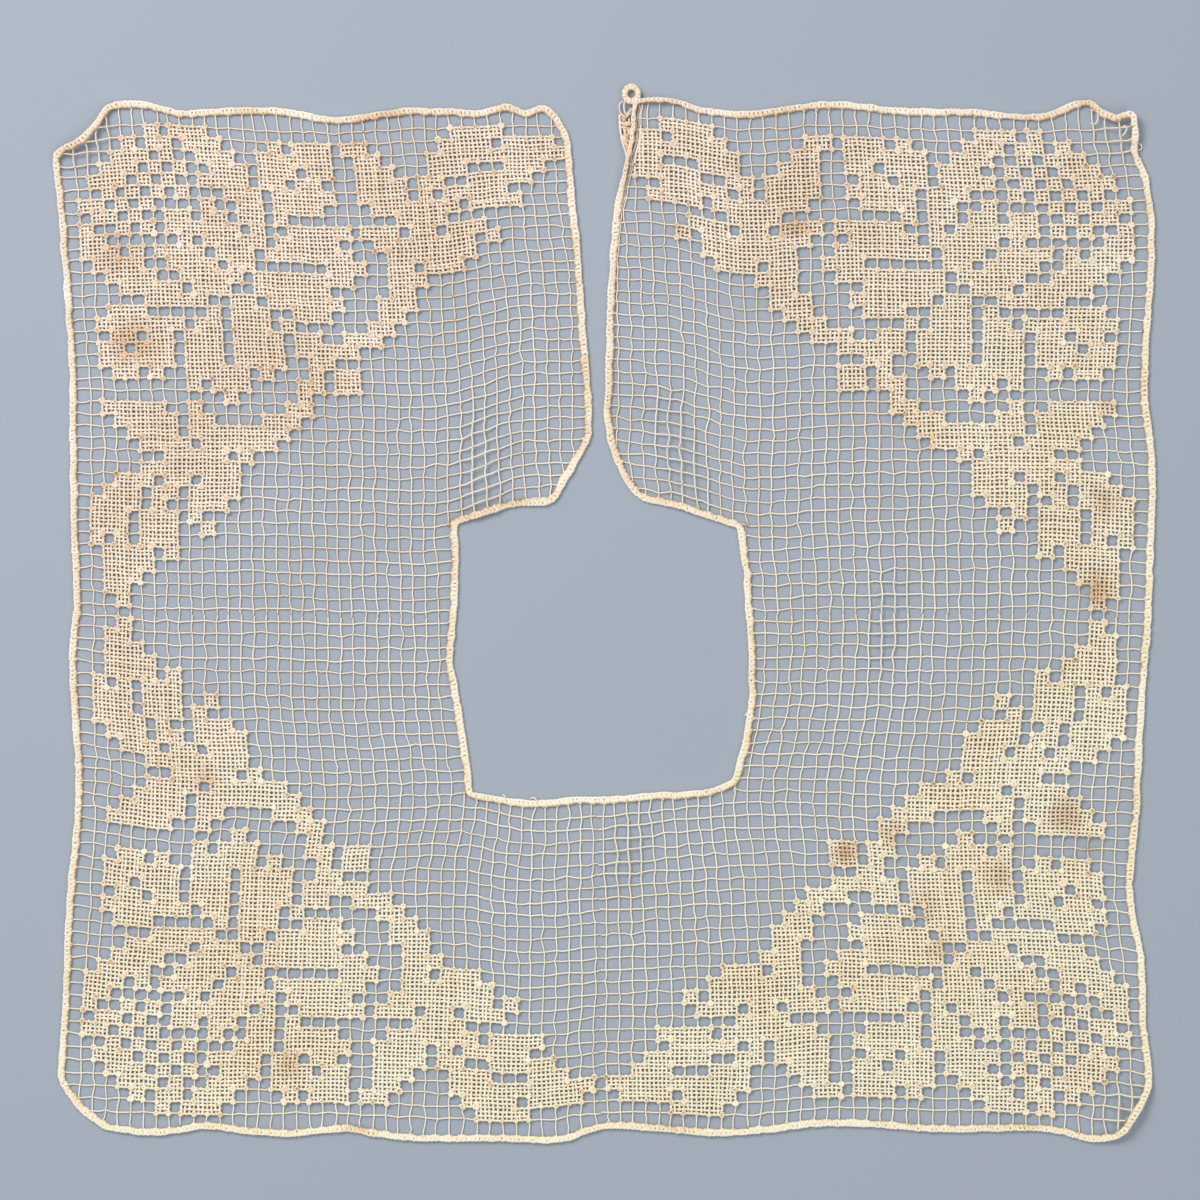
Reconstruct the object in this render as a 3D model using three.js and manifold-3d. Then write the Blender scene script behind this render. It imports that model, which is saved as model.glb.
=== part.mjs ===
import * as THREE from "three";
import { mergeVertices } from "three/addons/utils/BufferGeometryUtils.js";
import Module from "manifold-3d";

const wasm = await Module();
wasm.setup();

// A square filet-lace collar laid flat on a table, front slit towards +Y.
// Millimetres, +Z up, the origin under the middle of the piece.
// The net is counted in meshes from its middle: a column runs towards +X, a row towards +Y.

// Driving sizes of the net
const MESH_ACROSS = 4.3;
const MESH_DOWN = 4.1;
const HALF_NET = 41.5; // meshes from the middle to each outer edge
const NECK = { half: 11.5, back: -14.5, front: 7.5 }; // meshes
const SLIT_HALF = 0.5; // the one column of meshes left out for the slit
const MIDDLE = { x: -0.03, y: 0.16 }; // moves the net so that the origin is under the middle of its bounds

// Thicknesses
const NET_THICK = 1.0;
const DARNING_RISE = 0.45;
const DARNING_INSET = 0.04; // meshes
const CORD = { width: 2.5, height: 1.7, sides: 6, out: 1.75 }; // out: centre line past the last net line
const WALL_PAST_NET = 0.15;
const SEAM_GAP = 0.3;

// How far the laid-out net strays to the side, in mm, along six of its net lines
const SIDEWAYS = [
  { row: 41.5, left: -5.7, neckLeft: -11.7, slitLeft: -11.8, slitRight: -5.0, neckRight: -4.8, right: -1.3 },
  { row: 34, left: -2.7, neckLeft: -8.4, slitLeft: -9.1, slitRight: -4.8, neckRight: -3.8, right: 3.4 },
  { row: 26, left: -1.2, neckLeft: -5.7, slitLeft: -5.3, slitRight: -2.6, neckRight: -2.4, right: 3.7 },
  { row: 18, left: 1.0, neckLeft: -3.6, slitLeft: -4.4, slitRight: -1.7, neckRight: -1.4, right: 2.0 },
  { row: 12, left: 1.7, neckLeft: -3.3, slitLeft: -4.4, slitRight: -2.4, neckRight: -2.1, right: 4.4 },
  { row: 7.5, left: 1.3, neckLeft: -3.3, slitLeft: -2.4, slitRight: -0.7, neckRight: -1.8, right: 4.0 },
  { row: 0, left: 1.9, neckLeft: -2.3, slitLeft: -1.4, slitRight: -0.3, neckRight: 0.1, right: 3.0 },
  { row: -7, left: 2.2, neckLeft: -1.6, slitLeft: -0.4, slitRight: -0.3, neckRight: -0.7, right: 1.3 },
  { row: -14.5, left: 3.0, neckLeft: 2.1, slitLeft: -2.0, slitRight: -2.7, neckRight: -5.8, right: -0.7 },
  { row: -21, left: 1.7, neckLeft: -1.3, slitLeft: -1.7, slitRight: -2.0, neckRight: -3.1, right: -2.4 },
  { row: -28, left: -0.3, neckLeft: -1.3, slitLeft: -1.0, slitRight: -1.3, neckRight: -1.1, right: 1.0 },
  { row: -35, left: -2.2, neckLeft: -2.3, slitLeft: -1.7, slitRight: -1.7, neckRight: -0.6, right: 3.0 },
  { row: -41.5, left: -3.0, neckLeft: -2.6, slitLeft: -1.0, slitRight: -1.0, neckRight: -1.4, right: 3.7 },
];
const SIDEWAYS_LINES = [
  ["left", -41.5],
  ["neckLeft", -11.5],
  ["slitLeft", -0.5],
  ["slitRight", 0.5],
  ["neckRight", 11.5],
  ["right", 41.5],
];

// How far it strays to the front, in mm, along four net lines that cross it
const FORWARD = [
  { column: -41.5, front: -3.2, neckFront: 1.8, neckBack: 4.3, back: -0.5 },
  { column: -35, front: -0.8, neckFront: 0.6, neckBack: 0.3, back: -1.6 },
  { column: -28, front: -1.8, neckFront: 0.8, neckBack: -0.7, back: -1.9 },
  { column: -20, front: -3.5, neckFront: 0.1, neckBack: -1.9, back: -1.9 },
  { column: -11.5, front: -2.2, neckFront: -0.2, neckBack: -0.7, back: -3.6 },
  { column: -6, front: -1.5, neckFront: 8.2, neckBack: -5.1, back: -3.9 },
  { column: -0.5, front: -0.8, neckFront: 9.5, neckBack: -4.4, back: -1.6 },
  { column: 0.5, front: 0.9, neckFront: 9.5, neckBack: -4.1, back: -1.2 },
  { column: 6, front: 1.2, neckFront: 6.2, neckBack: -1.7, back: -1.6 },
  { column: 11.5, front: -2.2, neckFront: -0.2, neckBack: 0.6, back: -2.2 },
  { column: 18, front: -0.8, neckFront: 0.8, neckBack: 0.0, back: 0.1 },
  { column: 26, front: -2.2, neckFront: 1.8, neckBack: -1.7, back: -0.5 },
  { column: 34, front: -3.2, neckFront: 2.0, neckBack: -1.7, back: -1.6 },
  { column: 41.5, front: -1.8, neckFront: 0.1, neckBack: -3.1, back: -4.9 },
];
const FORWARD_LINES = [
  ["front", 41.5],
  ["neckFront", 7.5],
  ["neckBack", -14.5],
  ["back", -41.5],
];

// Soft places where the cloth stands off the table: a long low fold has a length and a width, both from its middle
const LIFTS = [
  { name: "fold left of the slit foot", x: -42, y: 49, length: 30, width: 10, turn: 92, height: 2.2 },
  { name: "fold right of the slit foot", x: 25, y: 55, length: 30, width: 10, turn: 108, height: 2.4 },
  { name: "fold right of the neck", x: 95, y: -2, length: 24, width: 9, turn: 80, height: 1.6 },
  { name: "fold behind the neck", x: 7, y: -81, length: 20, width: 9, turn: 70, height: 1.6 },
  { name: "front left corner", x: -179, y: 165, length: 18, width: 18, turn: 0, height: 3.0 },
  { name: "front right corner", x: 179, y: 169, length: 18, width: 18, turn: 0, height: 3.0 },
  { name: "back right corner", x: 181, y: -171, length: 18, width: 18, turn: 0, height: 2.6 },
];

const LIFT_STEPS = { along: 8, across: 6 };
const LIFT_OVERLAP = 0.6;

// The finished edge, in meshes, once round with the cloth on the left: each turn is rounded by its radius
const EDGE = [
  { run: "outer_front_left", column: -2.0, row: 41.7, radius: 0.7 },
  { run: "outer_front_left", column: -3.5, row: 41.0, radius: 0.8 },
  { run: "outer_front_left", column: -4.9, row: 41.8, radius: 0.8 },
  { run: "outer_front_left", column: -6.8, row: 41.1, radius: 0.8 },
  { run: "outer_front_left", column: -12.2, row: 41.7, radius: 1.5 },
  { run: "outer_front_left", column: -18.6, row: 41.0, radius: 1.6 },
  { run: "outer_front_left", column: -23.3, row: 41.8, radius: 1.5 },
  { run: "outer_front_left", column: -28.6, row: 41.4, radius: 1.5 },
  { run: "outer_front_left", column: -31.5, row: 40.9, radius: 1.2 },
  { run: "outer_front_left", column: -34.6, row: 41.9, radius: 1.0 },
  { run: "outer_left", column: -37.2, row: 41.7, radius: 0.6 },
  { run: "outer_left", column: -37.9, row: 40.6, radius: 0.5 },
  { run: "outer_left", column: -39.2, row: 39.3, radius: 0.6 },
  { run: "outer_left", column: -41.6, row: 38.3, radius: 0.5 },
  { run: "outer_left", column: -41.5, row: 33.0, radius: 1.5 },
  { run: "outer_left", column: -41.3, row: 25.0, radius: 2.0 },
  { run: "outer_left", column: -41.6, row: 13.0, radius: 2.0 },
  { run: "outer_left", column: -41.3, row: 0.8, radius: 1.2 },
  { run: "outer_left", column: -41.8, row: -4.4, radius: 1.5 },
  { run: "outer_left", column: -41.4, row: -16.0, radius: 2.0 },
  { run: "outer_left", column: -41.7, row: -24.1, radius: 2.0 },
  { run: "outer_left", column: -41.4, row: -33.5, radius: 1.5 },
  { run: "outer_left", column: -41.6, row: -37.9, radius: 0.7 },
  { run: "outer_back", column: -40.8, row: -39.2, radius: 0.6 },
  { run: "outer_back", column: -39.7, row: -40.4, radius: 0.6 },
  { run: "outer_back", column: -38.2, row: -41.4, radius: 0.7 },
  { run: "outer_back", column: -34.6, row: -41.7, radius: 1.0 },
  { run: "outer_back", column: -31.0, row: -41.0, radius: 1.2 },
  { run: "outer_back", column: -24.0, row: -41.8, radius: 1.6 },
  { run: "outer_back", column: -20.1, row: -41.2, radius: 1.4 },
  { run: "outer_back", column: -15.4, row: -41.8, radius: 1.6 },
  { run: "outer_back", column: -7.7, row: -41.5, radius: 1.5 },
  { run: "outer_back", column: -3.2, row: -42.0, radius: 1.0 },
  { run: "outer_back", column: 0.2, row: -41.1, radius: 1.0 },
  { run: "outer_back", column: 8.0, row: -41.6, radius: 2.0 },
  { run: "outer_back", column: 17.0, row: -41.2, radius: 2.0 },
  { run: "outer_back", column: 26.0, row: -41.7, radius: 2.0 },
  { run: "outer_back", column: 34.5, row: -41.3, radius: 1.2 },
  { run: "outer_right", column: 37.4, row: -41.9, radius: 0.9 },
  { run: "outer_right", column: 39.2, row: -41.5, radius: 0.7 },
  { run: "outer_right", column: 40.6, row: -39.4, radius: 0.9 },
  { run: "outer_right", column: 41.5, row: -37.4, radius: 0.8 },
  { run: "outer_right", column: 41.2, row: -33.1, radius: 1.3 },
  { run: "outer_right", column: 41.5, row: -27.4, radius: 1.5 },
  { run: "outer_right", column: 41.2, row: -22.5, radius: 1.5 },
  { run: "outer_right", column: 41.5, row: -17.0, radius: 1.8 },
  { run: "outer_right", column: 41.3, row: -9.6, radius: 1.8 },
  { run: "outer_right", column: 41.5, row: 4.7, radius: 2.5 },
  { run: "outer_right", column: 41.5, row: 17.8, radius: 2.0 },
  { run: "outer_right", column: 41.3, row: 23.7, radius: 2.0 },
  { run: "outer_right", column: 41.6, row: 32.0, radius: 1.5 },
  { run: "outer_right", column: 41.4, row: 36.4, radius: 0.9 },
  { run: "outer_right", column: 40.9, row: 38.3, radius: 0.5 },
  { run: "outer_front_right", column: 41.3, row: 41.2, radius: 0.4 },
  { run: "outer_front_right", column: 40.3, row: 40.8, radius: 0.4 },
  { run: "outer_front_right", column: 39.0, row: 41.5, radius: 0.4 },
  { run: "outer_front_right", column: 38.3, row: 42.4, radius: 0.5 },
  { run: "outer_front_right", column: 37.4, row: 42.2, radius: 0.6 },
  { run: "outer_front_right", column: 34.9, row: 41.2, radius: 0.8 },
  { run: "outer_front_right", column: 29.5, row: 41.6, radius: 1.5 },
  { run: "outer_front_right", column: 23.9, row: 41.4, radius: 1.5 },
  { run: "outer_front_right", column: 19.7, row: 41.8, radius: 1.5 },
  { run: "outer_front_right", column: 13.2, row: 41.3, radius: 1.5 },
  { run: "outer_front_right", column: 8.6, row: 41.2, radius: 1.2 },
  { run: "outer_front_right", column: 6.2, row: 41.7, radius: 0.8 },
  { run: "slit_right", column: 4.2, row: 41.5, radius: 0.5 },
  { run: "slit_right", column: 3.65, row: 38.6, radius: 1.0 },
  { run: "slit_right", column: 3.3, row: 36.9, radius: 1.0 },
  { run: "slit_right", column: 2.6, row: 33.4, radius: 1.5 },
  { run: "slit_right", column: 1.75, row: 28.2, radius: 2.0 },
  { run: "slit_right", column: 1.25, row: 22.0, radius: 2.0 },
  { run: "slit_right", column: 1.1, row: 14.4, radius: 1.5 },
  { run: "slit_right", column: 2.1, row: 10.2, radius: 1.0 },
  { run: "neck_front_right", column: 3.3, row: 8.1, radius: 0.8 },
  { run: "neck_right", column: 11.5, row: 7.9, radius: 1.0 },
  { run: "neck_right", column: 11.9, row: -3.0, radius: 2.5 },
  { run: "neck_right", column: 12.3, row: -10.8, radius: 1.2 },
  { run: "neck_back", column: 11.9, row: -14.2, radius: 0.9 },
  { run: "neck_back", column: 9.8, row: -15.0, radius: 1.0 },
  { run: "neck_back", column: -2.4, row: -14.4, radius: 2.5 },
  { run: "neck_left", column: -11.5, row: -15.0, radius: 0.9 },
  { run: "neck_left", column: -11.6, row: -7.0, radius: 1.5 },
  { run: "neck_left", column: -12.1, row: -3.2, radius: 1.0 },
  { run: "neck_left", column: -11.4, row: 4.0, radius: 1.5 },
  { run: "neck_front_left", column: -11.4, row: 8.2, radius: 0.9 },
  { run: "neck_front_left", column: -6.0, row: 7.7, radius: 1.5 },
  { run: "slit_left", column: -3.8, row: 7.4, radius: 0.8 },
  { run: "slit_left", column: -0.5, row: 13.0, radius: 1.0 },
  { run: "slit_left", column: -1.2, row: 24.0, radius: 3.5 },
  { run: "slit_left", column: -0.8, row: 36.5, radius: 2.0 },
  { run: "slit_left", column: -0.8, row: 39.4, radius: 0.8 },
];
const EDGE_STEP = 2.2; // meshes between stations on a straight run

// The corner at the front of the right slit edge is folded back on itself, in meshes: the net runs on
// under the cord to the fold, and the flap lies on top from the fold back to the cord
const FOLD = [
  { row: 41.6, fold: 2.4, flapEdge: 3.42, net: 4.4 },
  { row: 40.0, fold: 2.35, flapEdge: 3.12, net: 4.1 },
  { row: 38.7, fold: 2.45, flapEdge: 2.87, net: 3.9 },
  { row: 37.6, fold: 2.6, flapEdge: 2.68, net: 3.7 },
];
const FLAP_RISE = 0.9;
const CORD_CLIMB = { fromRow: 32.5, toRow: 36.2, fromColumn: 9.0, toColumn: 4.6, rise: 1.35 };

// The loop's foot stands as high as the cord it grows from, and its far side lies on the table
const LOOP = { x: 9.05, y: 175.4, acrossHalf: 1.95, alongHalf: 1.75, thread: 2.2, height: 1.6, footRise: 1.3 };

// The darning, charted in meshes for half a corner and mirrored over the corner's diagonal.
// A line is one row of meshes counted in from the edge; X is darned. The first character is the outermost mesh.
const DARNING = [
  {
    motif: "corner flower",
    firstLine: 4,
    chart: [
      "...XX",
      "..XXX",
      "...X.X",
      ".XX.X.X",
      "..XX.X..X",
      ".X..X.X.XX",
      ".XX......X",
      ".XXX.X.XXXX",
      "..XXXX..XXXX",
      "...XXXX..XXXXX",
      "....XXXXX.XXX",
      "......XXXXX..XX",
    ],
  },
  {
    motif: "slotted leaf, long leaf and corner bud",
    firstLine: 16,
    chart: [
      "...XXX.....X.XXX",
      "..XXXXXXX.XX.XXX.X",
      "...XX.XX.XXX.XXXX.X",
      "..XX.XXX.XXX.XXXX.XX",
      "..XXXXXX.XXX.XXXX..XX",
      "...XX.X..XXXXX.X...X.X",
      ".........X.XXX....XX.XX",
      "............X.....X",
    ],
  },
  {
    motif: "stem and side leaves",
    firstLine: 24,
    chart: [
      "..XXXXX..X.......XX",
      "...XXXXX.XX....XXX",
      "....XXXX.XXXXXXXX",
      ".....XXXX.XXXXXX",
      ".......XXXXX.X",
      ".....XXXXXXXX",
    ],
  },
  {
    motif: "side flower",
    firstLine: 30,
    chart: [
      "...XXX.XX.XXX",
      "..XXX.XX.XXXX",
      ".XXXX.X..XXX",
      ".XXX.XXX.X",
      ".XXX.XXX..X",
      ".X.X.XXX",
      "..XXXX.X",
      "..XXXX",
      "..XXX",
      "..XX",
      "...X",
    ],
  },
];
const EXTRA_ALONG_FRONT_AND_BACK = [
  { line: 21, mesh: 2 },
  { line: 23, mesh: 2 },
];

const THREAD = { color: 0xeadbb9, roughness: 0.95, metalness: 0 };
const CORD_THREAD = { color: 0xefe1c2, roughness: 0.95, metalness: 0 };

// A smooth line through (at, value) stations, listed in rising or falling order
function smoothThrough(stations, at) {
  const s = stations[0][0] < stations[1][0] ? stations : [...stations].reverse();
  const x = Math.min(Math.max(at, s[0][0]), s[s.length - 1][0]);
  let k = 0;
  while (k < s.length - 2 && x > s[k + 1][0]) k++;
  const slope = (m) => {
    const a = s[Math.max(m - 1, 0)],
      b = s[Math.min(m + 1, s.length - 1)];
    return (b[1] - a[1]) / (b[0] - a[0]);
  };
  const [x0, y0] = s[k],
    [x1, y1] = s[k + 1],
    h = x1 - x0,
    t = (x - x0) / h;
  return (
    (2 * t ** 3 - 3 * t ** 2 + 1) * y0 +
    (t ** 3 - 2 * t ** 2 + t) * h * slope(k) +
    (3 * t ** 2 - 2 * t ** 3) * y1 +
    (t ** 3 - t ** 2) * h * slope(k + 1)
  );
}

// Straight between neighbouring lines: lines is a list of [name, place]
function betweenLines(lines, place, valueOnLine) {
  const s = lines[0][1] < lines[1][1] ? lines : [...lines].reverse();
  let k = 0;
  while (k < s.length - 2 && place > s[k + 1][1]) k++;
  const t = THREE.MathUtils.clamp((place - s[k][1]) / (s[k + 1][1] - s[k][1]), 0, 1);
  return THREE.MathUtils.lerp(valueOnLine(s[k][0]), valueOnLine(s[k + 1][0]), t);
}

// Where a place on the net, counted in meshes, lies on the table
function onTable(column, row) {
  const sideways = betweenLines(SIDEWAYS_LINES, column, (line) =>
    smoothThrough(SIDEWAYS.map((s) => [s.row, s[line]]), row),
  );
  const forward = betweenLines(FORWARD_LINES, row, (line) =>
    smoothThrough(FORWARD.map((s) => [s.column, s[line]]), column),
  );
  return new THREE.Vector2(
    MESH_ACROSS * column + sideways - MIDDLE.x,
    MESH_DOWN * row + forward - MIDDLE.y,
  );
}

function liftAt(x, y) {
  let lift = 0;
  for (const f of LIFTS) {
    const angle = THREE.MathUtils.degToRad(f.turn);
    const along = ((x - f.x) * Math.cos(angle) + (y - f.y) * Math.sin(angle)) / f.length;
    const across = ((y - f.y) * Math.cos(angle) - (x - f.x) * Math.sin(angle)) / f.width;
    if (Math.abs(along) < 1 && Math.abs(across) < 1)
      lift += f.height * (1 - along ** 2) ** 2 * (1 - across ** 2) ** 2;
  }
  return lift;
}

function isDarned(column, row) {
  const fromSide = 41 - Math.abs(column),
    fromFront = 41 - Math.abs(row);
  const line = Math.max(fromSide, fromFront),
    mesh = Math.min(fromSide, fromFront);
  if (mesh < 0) return false;
  if (fromSide > fromFront && EXTRA_ALONG_FRONT_AND_BACK.some((e) => e.line === line && e.mesh === mesh)) return true;
  return DARNING.some((m) => m.chart[line - m.firstLine]?.[mesh] === "X");
}

// The rounded edge as stations in meshes, each with the run of cord it belongs to
function edgeStations() {
  const stations = [];
  const corners = EDGE.map((e) => new THREE.Vector2(e.column, e.row));
  EDGE.forEach((e, k) => {
    const here = corners[k],
      before = corners.at(k - 1),
      after = corners[(k + 1) % corners.length];
    const backward = before.clone().sub(here),
      forward = after.clone().sub(here);
    const reach = Math.min(e.radius, backward.length() / 2.2, forward.length() / 2.2);
    const start = here.clone().addScaledVector(backward.normalize(), reach),
      end = here.clone().addScaledVector(forward.clone().normalize(), reach);
    const bend = new THREE.QuadraticBezierCurve(start, here, end);
    for (const t of [0, 0.5, 1]) stations.push({ run: e.run, place: bend.getPoint(t), turn: t === 0.5 });
    const length = forward.length() - reach - Math.min(EDGE[(k + 1) % EDGE.length].radius, forward.length() / 2.2);
    const steps = Math.max(1, Math.round(length / EDGE_STEP));
    const direction = forward.normalize();
    for (let n = 1; n < steps; n++)
      stations.push({ run: e.run, place: end.clone().addScaledVector(direction, (length * n) / steps), turn: false });
  });
  const points = stations.map((s) => onTable(s.place.x, s.place.y));
  const clockwise = THREE.ShapeUtils.area(points) < 0;
  return stations.map((s, k) => {
    const point = points[k],
      before = points.at(k - 1),
      after = points[(k + 1) % points.length];
    const one = point.clone().sub(before).normalize(),
      two = after.clone().sub(point).normalize();
    const along = one.clone().add(two).normalize();
    const outward = new THREE.Vector2(along.y, -along.x).multiplyScalar(clockwise ? -1 : 1);
    const miter = 1 / Math.max(0.5, Math.sqrt((1 + one.dot(two)) / 2));
    return { ...s, point, outward: outward.multiplyScalar(miter) };
  });
}

function offsetPoint(station, distance) {
  return station.point.clone().addScaledVector(station.outward, distance);
}

function solidOf(geometry) {
  const bare = new THREE.BufferGeometry();
  bare.setAttribute("position", (geometry.index ? geometry.toNonIndexed() : geometry).getAttribute("position"));
  const merged = mergeVertices(bare, 1e-4);
  return new wasm.Manifold(
    new wasm.Mesh({
      numProp: 3,
      vertProperties: merged.attributes.position.array,
      triVerts: new Uint32Array(merged.index.array),
    }),
  );
}

function geometryOf(solid) {
  const mesh = solid.getMesh();
  const geometry = new THREE.BufferGeometry();
  geometry.setAttribute("position", new THREE.BufferAttribute(new Float32Array(mesh.vertProperties), 3));
  geometry.setIndex(new THREE.BufferAttribute(new Uint32Array(mesh.triVerts), 1));
  geometry.computeVertexNormals();
  return geometry;
}

// A closed tube through rings of points, all rings with the same count
function skinned(rings) {
  const sides = rings[0].length,
    positions = [],
    index = [];
  for (const ring of rings) for (const p of ring) positions.push(p.x, p.y, p.z);
  for (let k = 0; k + 1 < rings.length; k++)
    for (let s = 0; s < sides; s++) {
      const a = k * sides + s,
        b = k * sides + ((s + 1) % sides);
      index.push(a, a + sides, b, b, a + sides, b + sides);
    }
  const last = (rings.length - 1) * sides;
  for (let s = 1; s + 1 < sides; s++) {
    index.push(0, s, s + 1);
    index.push(last, last + s + 1, last + s);
  }
  const geometry = new THREE.BufferGeometry();
  geometry.setAttribute("position", new THREE.Float32BufferAttribute(positions, 3));
  geometry.setIndex(index);
  return geometry;
}

// A rectangle over one lift, grown by a margin, as a flat outline on the table
function liftOutline(lift, margin) {
  const turn = THREE.MathUtils.degToRad(lift.turn);
  return [[1, 1], [-1, 1], [-1, -1], [1, -1]].map(([along, across]) =>
    new THREE.Vector2(along * (lift.length + margin), across * (lift.width + margin))
      .rotateAround(new THREE.Vector2(), turn)
      .add(new THREE.Vector2(lift.x, lift.y)),
  );
}

// A slab of the net's thickness over one lift, following it
function liftedSlab(lift) {
  const slab = new THREE.BoxGeometry(
    2 * (lift.length + LIFT_OVERLAP),
    2 * (lift.width + LIFT_OVERLAP),
    NET_THICK,
    LIFT_STEPS.along,
    LIFT_STEPS.across,
    1,
  );
  slab.rotateZ(THREE.MathUtils.degToRad(lift.turn)).translate(lift.x, lift.y, NET_THICK / 2);
  const position = slab.attributes.position;
  for (let k = 0; k < position.count; k++)
    position.setZ(k, position.getZ(k) + liftAt(position.getX(k), position.getY(k)));
  return solidOf(slab);
}

function extrudedUp(shape, low, high) {
  const geometry = new THREE.ExtrudeGeometry(shape, { depth: high - low, bevelEnabled: false });
  geometry.translate(0, 0, low);
  return solidOf(geometry);
}

// Closed outlines round the darned meshes, walked with the darning on the left
function darnedOutlines() {
  const size = 41,
    step = { E: [1, 0], N: [0, 1], W: [-1, 0], S: [0, -1] };
  const starts = new Map();
  const addSide = (c, r, way) => {
    const key = c + "," + r;
    if (!starts.has(key)) starts.set(key, []);
    starts.get(key).push(way);
  };
  for (let c = -size; c <= size; c++)
    for (let r = -size; r <= size; r++) {
      if (!isDarned(c, r)) continue;
      if (!isDarned(c, r - 1)) addSide(c - 0.5, r - 0.5, "E");
      if (!isDarned(c + 1, r)) addSide(c + 0.5, r - 0.5, "N");
      if (!isDarned(c, r + 1)) addSide(c + 0.5, r + 0.5, "W");
      if (!isDarned(c - 1, r)) addSide(c - 0.5, r + 0.5, "S");
    }
  const leftTurn = { E: "N", N: "W", W: "S", S: "E" };
  const outlines = [];
  while (starts.size) {
    const [firstKey, firstWays] = starts.entries().next().value;
    let [c, r] = firstKey.split(",").map(Number),
      way = firstWays[0];
    const walk = [];
    for (;;) {
      const key = c + "," + r,
        ways = starts.get(key);
      if (!ways) break;
      const previous = walk.at(-1)?.way;
      const chosen = previous && ways.includes(leftTurn[previous]) ? leftTurn[previous] : ways.includes(way) ? way : ways[0];
      ways.splice(ways.indexOf(chosen), 1);
      if (!ways.length) starts.delete(key);
      walk.push({ c, r, way: chosen });
      way = chosen;
      c += step[chosen][0];
      r += step[chosen][1];
    }
    const outline = [];
    walk.forEach((w, k) => {
      const arriving = walk.at(k - 1).way;
      if (arriving === w.way) return;
      const inward = (name) => new THREE.Vector2(-step[name][1], step[name][0]);
      const shift = inward(arriving).add(inward(w.way)).multiplyScalar(DARNING_INSET);
      outline.push(new THREE.Vector2(w.c + shift.x, w.r + shift.y));
    });
    outlines.push(outline);
  }
  return outlines;
}

function darningShapes() {
  const outlines = darnedOutlines();
  const solids = outlines.filter((o) => THREE.ShapeUtils.area(o) > 0),
    holes = outlines.filter((o) => THREE.ShapeUtils.area(o) < 0);
  const inside = (point, ring) => {
    let odd = false;
    ring.forEach((p, k) => {
      const q = ring.at(k - 1);
      if (p.y > point.y !== q.y > point.y && point.x < ((q.x - p.x) * (point.y - p.y)) / (q.y - p.y) + p.x) odd = !odd;
    });
    return odd;
  };
  const flat = (ring) => ring.map((p) => onTable(p.x, p.y));
  return solids.map((ring) => {
    const shape = new THREE.Shape(flat(ring));
    for (const hole of holes) {
      const holders = solids.filter((s) => inside(hole[0], s));
      holders.sort((a, b) => THREE.ShapeUtils.area(a) - THREE.ShapeUtils.area(b));
      if (holders[0] === ring) shape.holes.push(new THREE.Path(flat(hole)));
    }
    return shape;
  });
}

// A half-round cross-section with a flat base, seen along the run
function cordRing(centre, across, half, base, height, sides) {
  const ring = [];
  for (let s = 0; s < sides; s++) {
    const angle = -Math.PI / 2 + (Math.PI * (2 * s + 1)) / sides;
    const grow = 1 / Math.cos(Math.PI / sides);
    ring.push(
      new THREE.Vector3(
        centre.x + across.x * half * Math.cos(angle),
        centre.y + across.y * half * Math.cos(angle),
        base + (height / 2) * (1 + Math.sin(angle) * grow),
      ),
    );
  }
  return ring;
}

// The net under the cord out to the fold, and the flap on top of it
function foldedCorner() {
  const between = (left, right) =>
    new THREE.Shape([
      ...FOLD.map((f) => onTable(f[left], f.row)),
      ...[...FOLD].reverse().map((f) => onTable(f[right], f.row)),
    ]);
  return extrudedUp(between("fold", "net"), 0, NET_THICK).add(
    extrudedUp(between("fold", "flapEdge"), NET_THICK / 2, NET_THICK + FLAP_RISE),
  );
}

function netGround(stations) {
  const outline = new THREE.Shape(stations.map((s) => offsetPoint(s, WALL_PAST_NET)));
  const column = extrudedUp(outline, -5, 20);
  let net = extrudedUp(outline, 0, NET_THICK);
  for (const lift of LIFTS) {
    net = net.subtract(extrudedUp(new THREE.Shape(liftOutline(lift, 0)), -5, 20));
    net = net.add(liftedSlab(lift).intersect(column));
  }
  const darning = darningShapes().map((shape) => extrudedUp(shape, NET_THICK / 2, NET_THICK + DARNING_RISE));
  return geometryOf(wasm.Manifold.union([net, ...darning]).intersect(column).add(foldedCorner()));
}

// The cord climbs onto the net where the corner is folded back, and comes down again along the front
function climbAt({ x: column, y: row }) {
  const { fromRow, toRow, fromColumn, toColumn, rise } = CORD_CLIMB;
  if (column < 0 || column > fromColumn) return 0;
  const alongFront = 1 - THREE.MathUtils.smoothstep(column, toColumn, fromColumn);
  return rise * THREE.MathUtils.smoothstep(row, fromRow, toRow) * alongFront;
}

// One run of the edging cord. A run starts and ends half a gap short of its neighbours.
function cordRun(stations) {
  const centres = stations.map((s) => offsetPoint(s, CORD.out));
  const trim = (from, to) => from.clone().addScaledVector(to.clone().sub(from).normalize(), SEAM_GAP / 2);
  centres[0] = trim(centres[0], centres[1]);
  centres[centres.length - 1] = trim(centres.at(-1), centres.at(-2));
  const rings = stations.map((s, k) => {
    const base = liftAt(centres[k].x, centres[k].y) + climbAt(s.place);
    return cordRing(centres[k], s.outward, CORD.width / 2, base, CORD.height, CORD.sides);
  });
  return geometryOf(solidOf(skinned(rings)));
}

function cordRuns(stations) {
  const names = [...new Set(EDGE.map((e) => e.run))];
  const first = stations.findIndex((s, k) => s.run !== stations.at(k - 1).run);
  const ordered = [...stations.slice(first), ...stations.slice(0, first)];
  return names.map((name) => {
    const run = ordered.filter((s) => s.run === name);
    const next = ordered[(ordered.indexOf(run.at(-1)) + 1) % ordered.length];
    return { name, geometry: cordRun([...run, next]) };
  });
}

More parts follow.
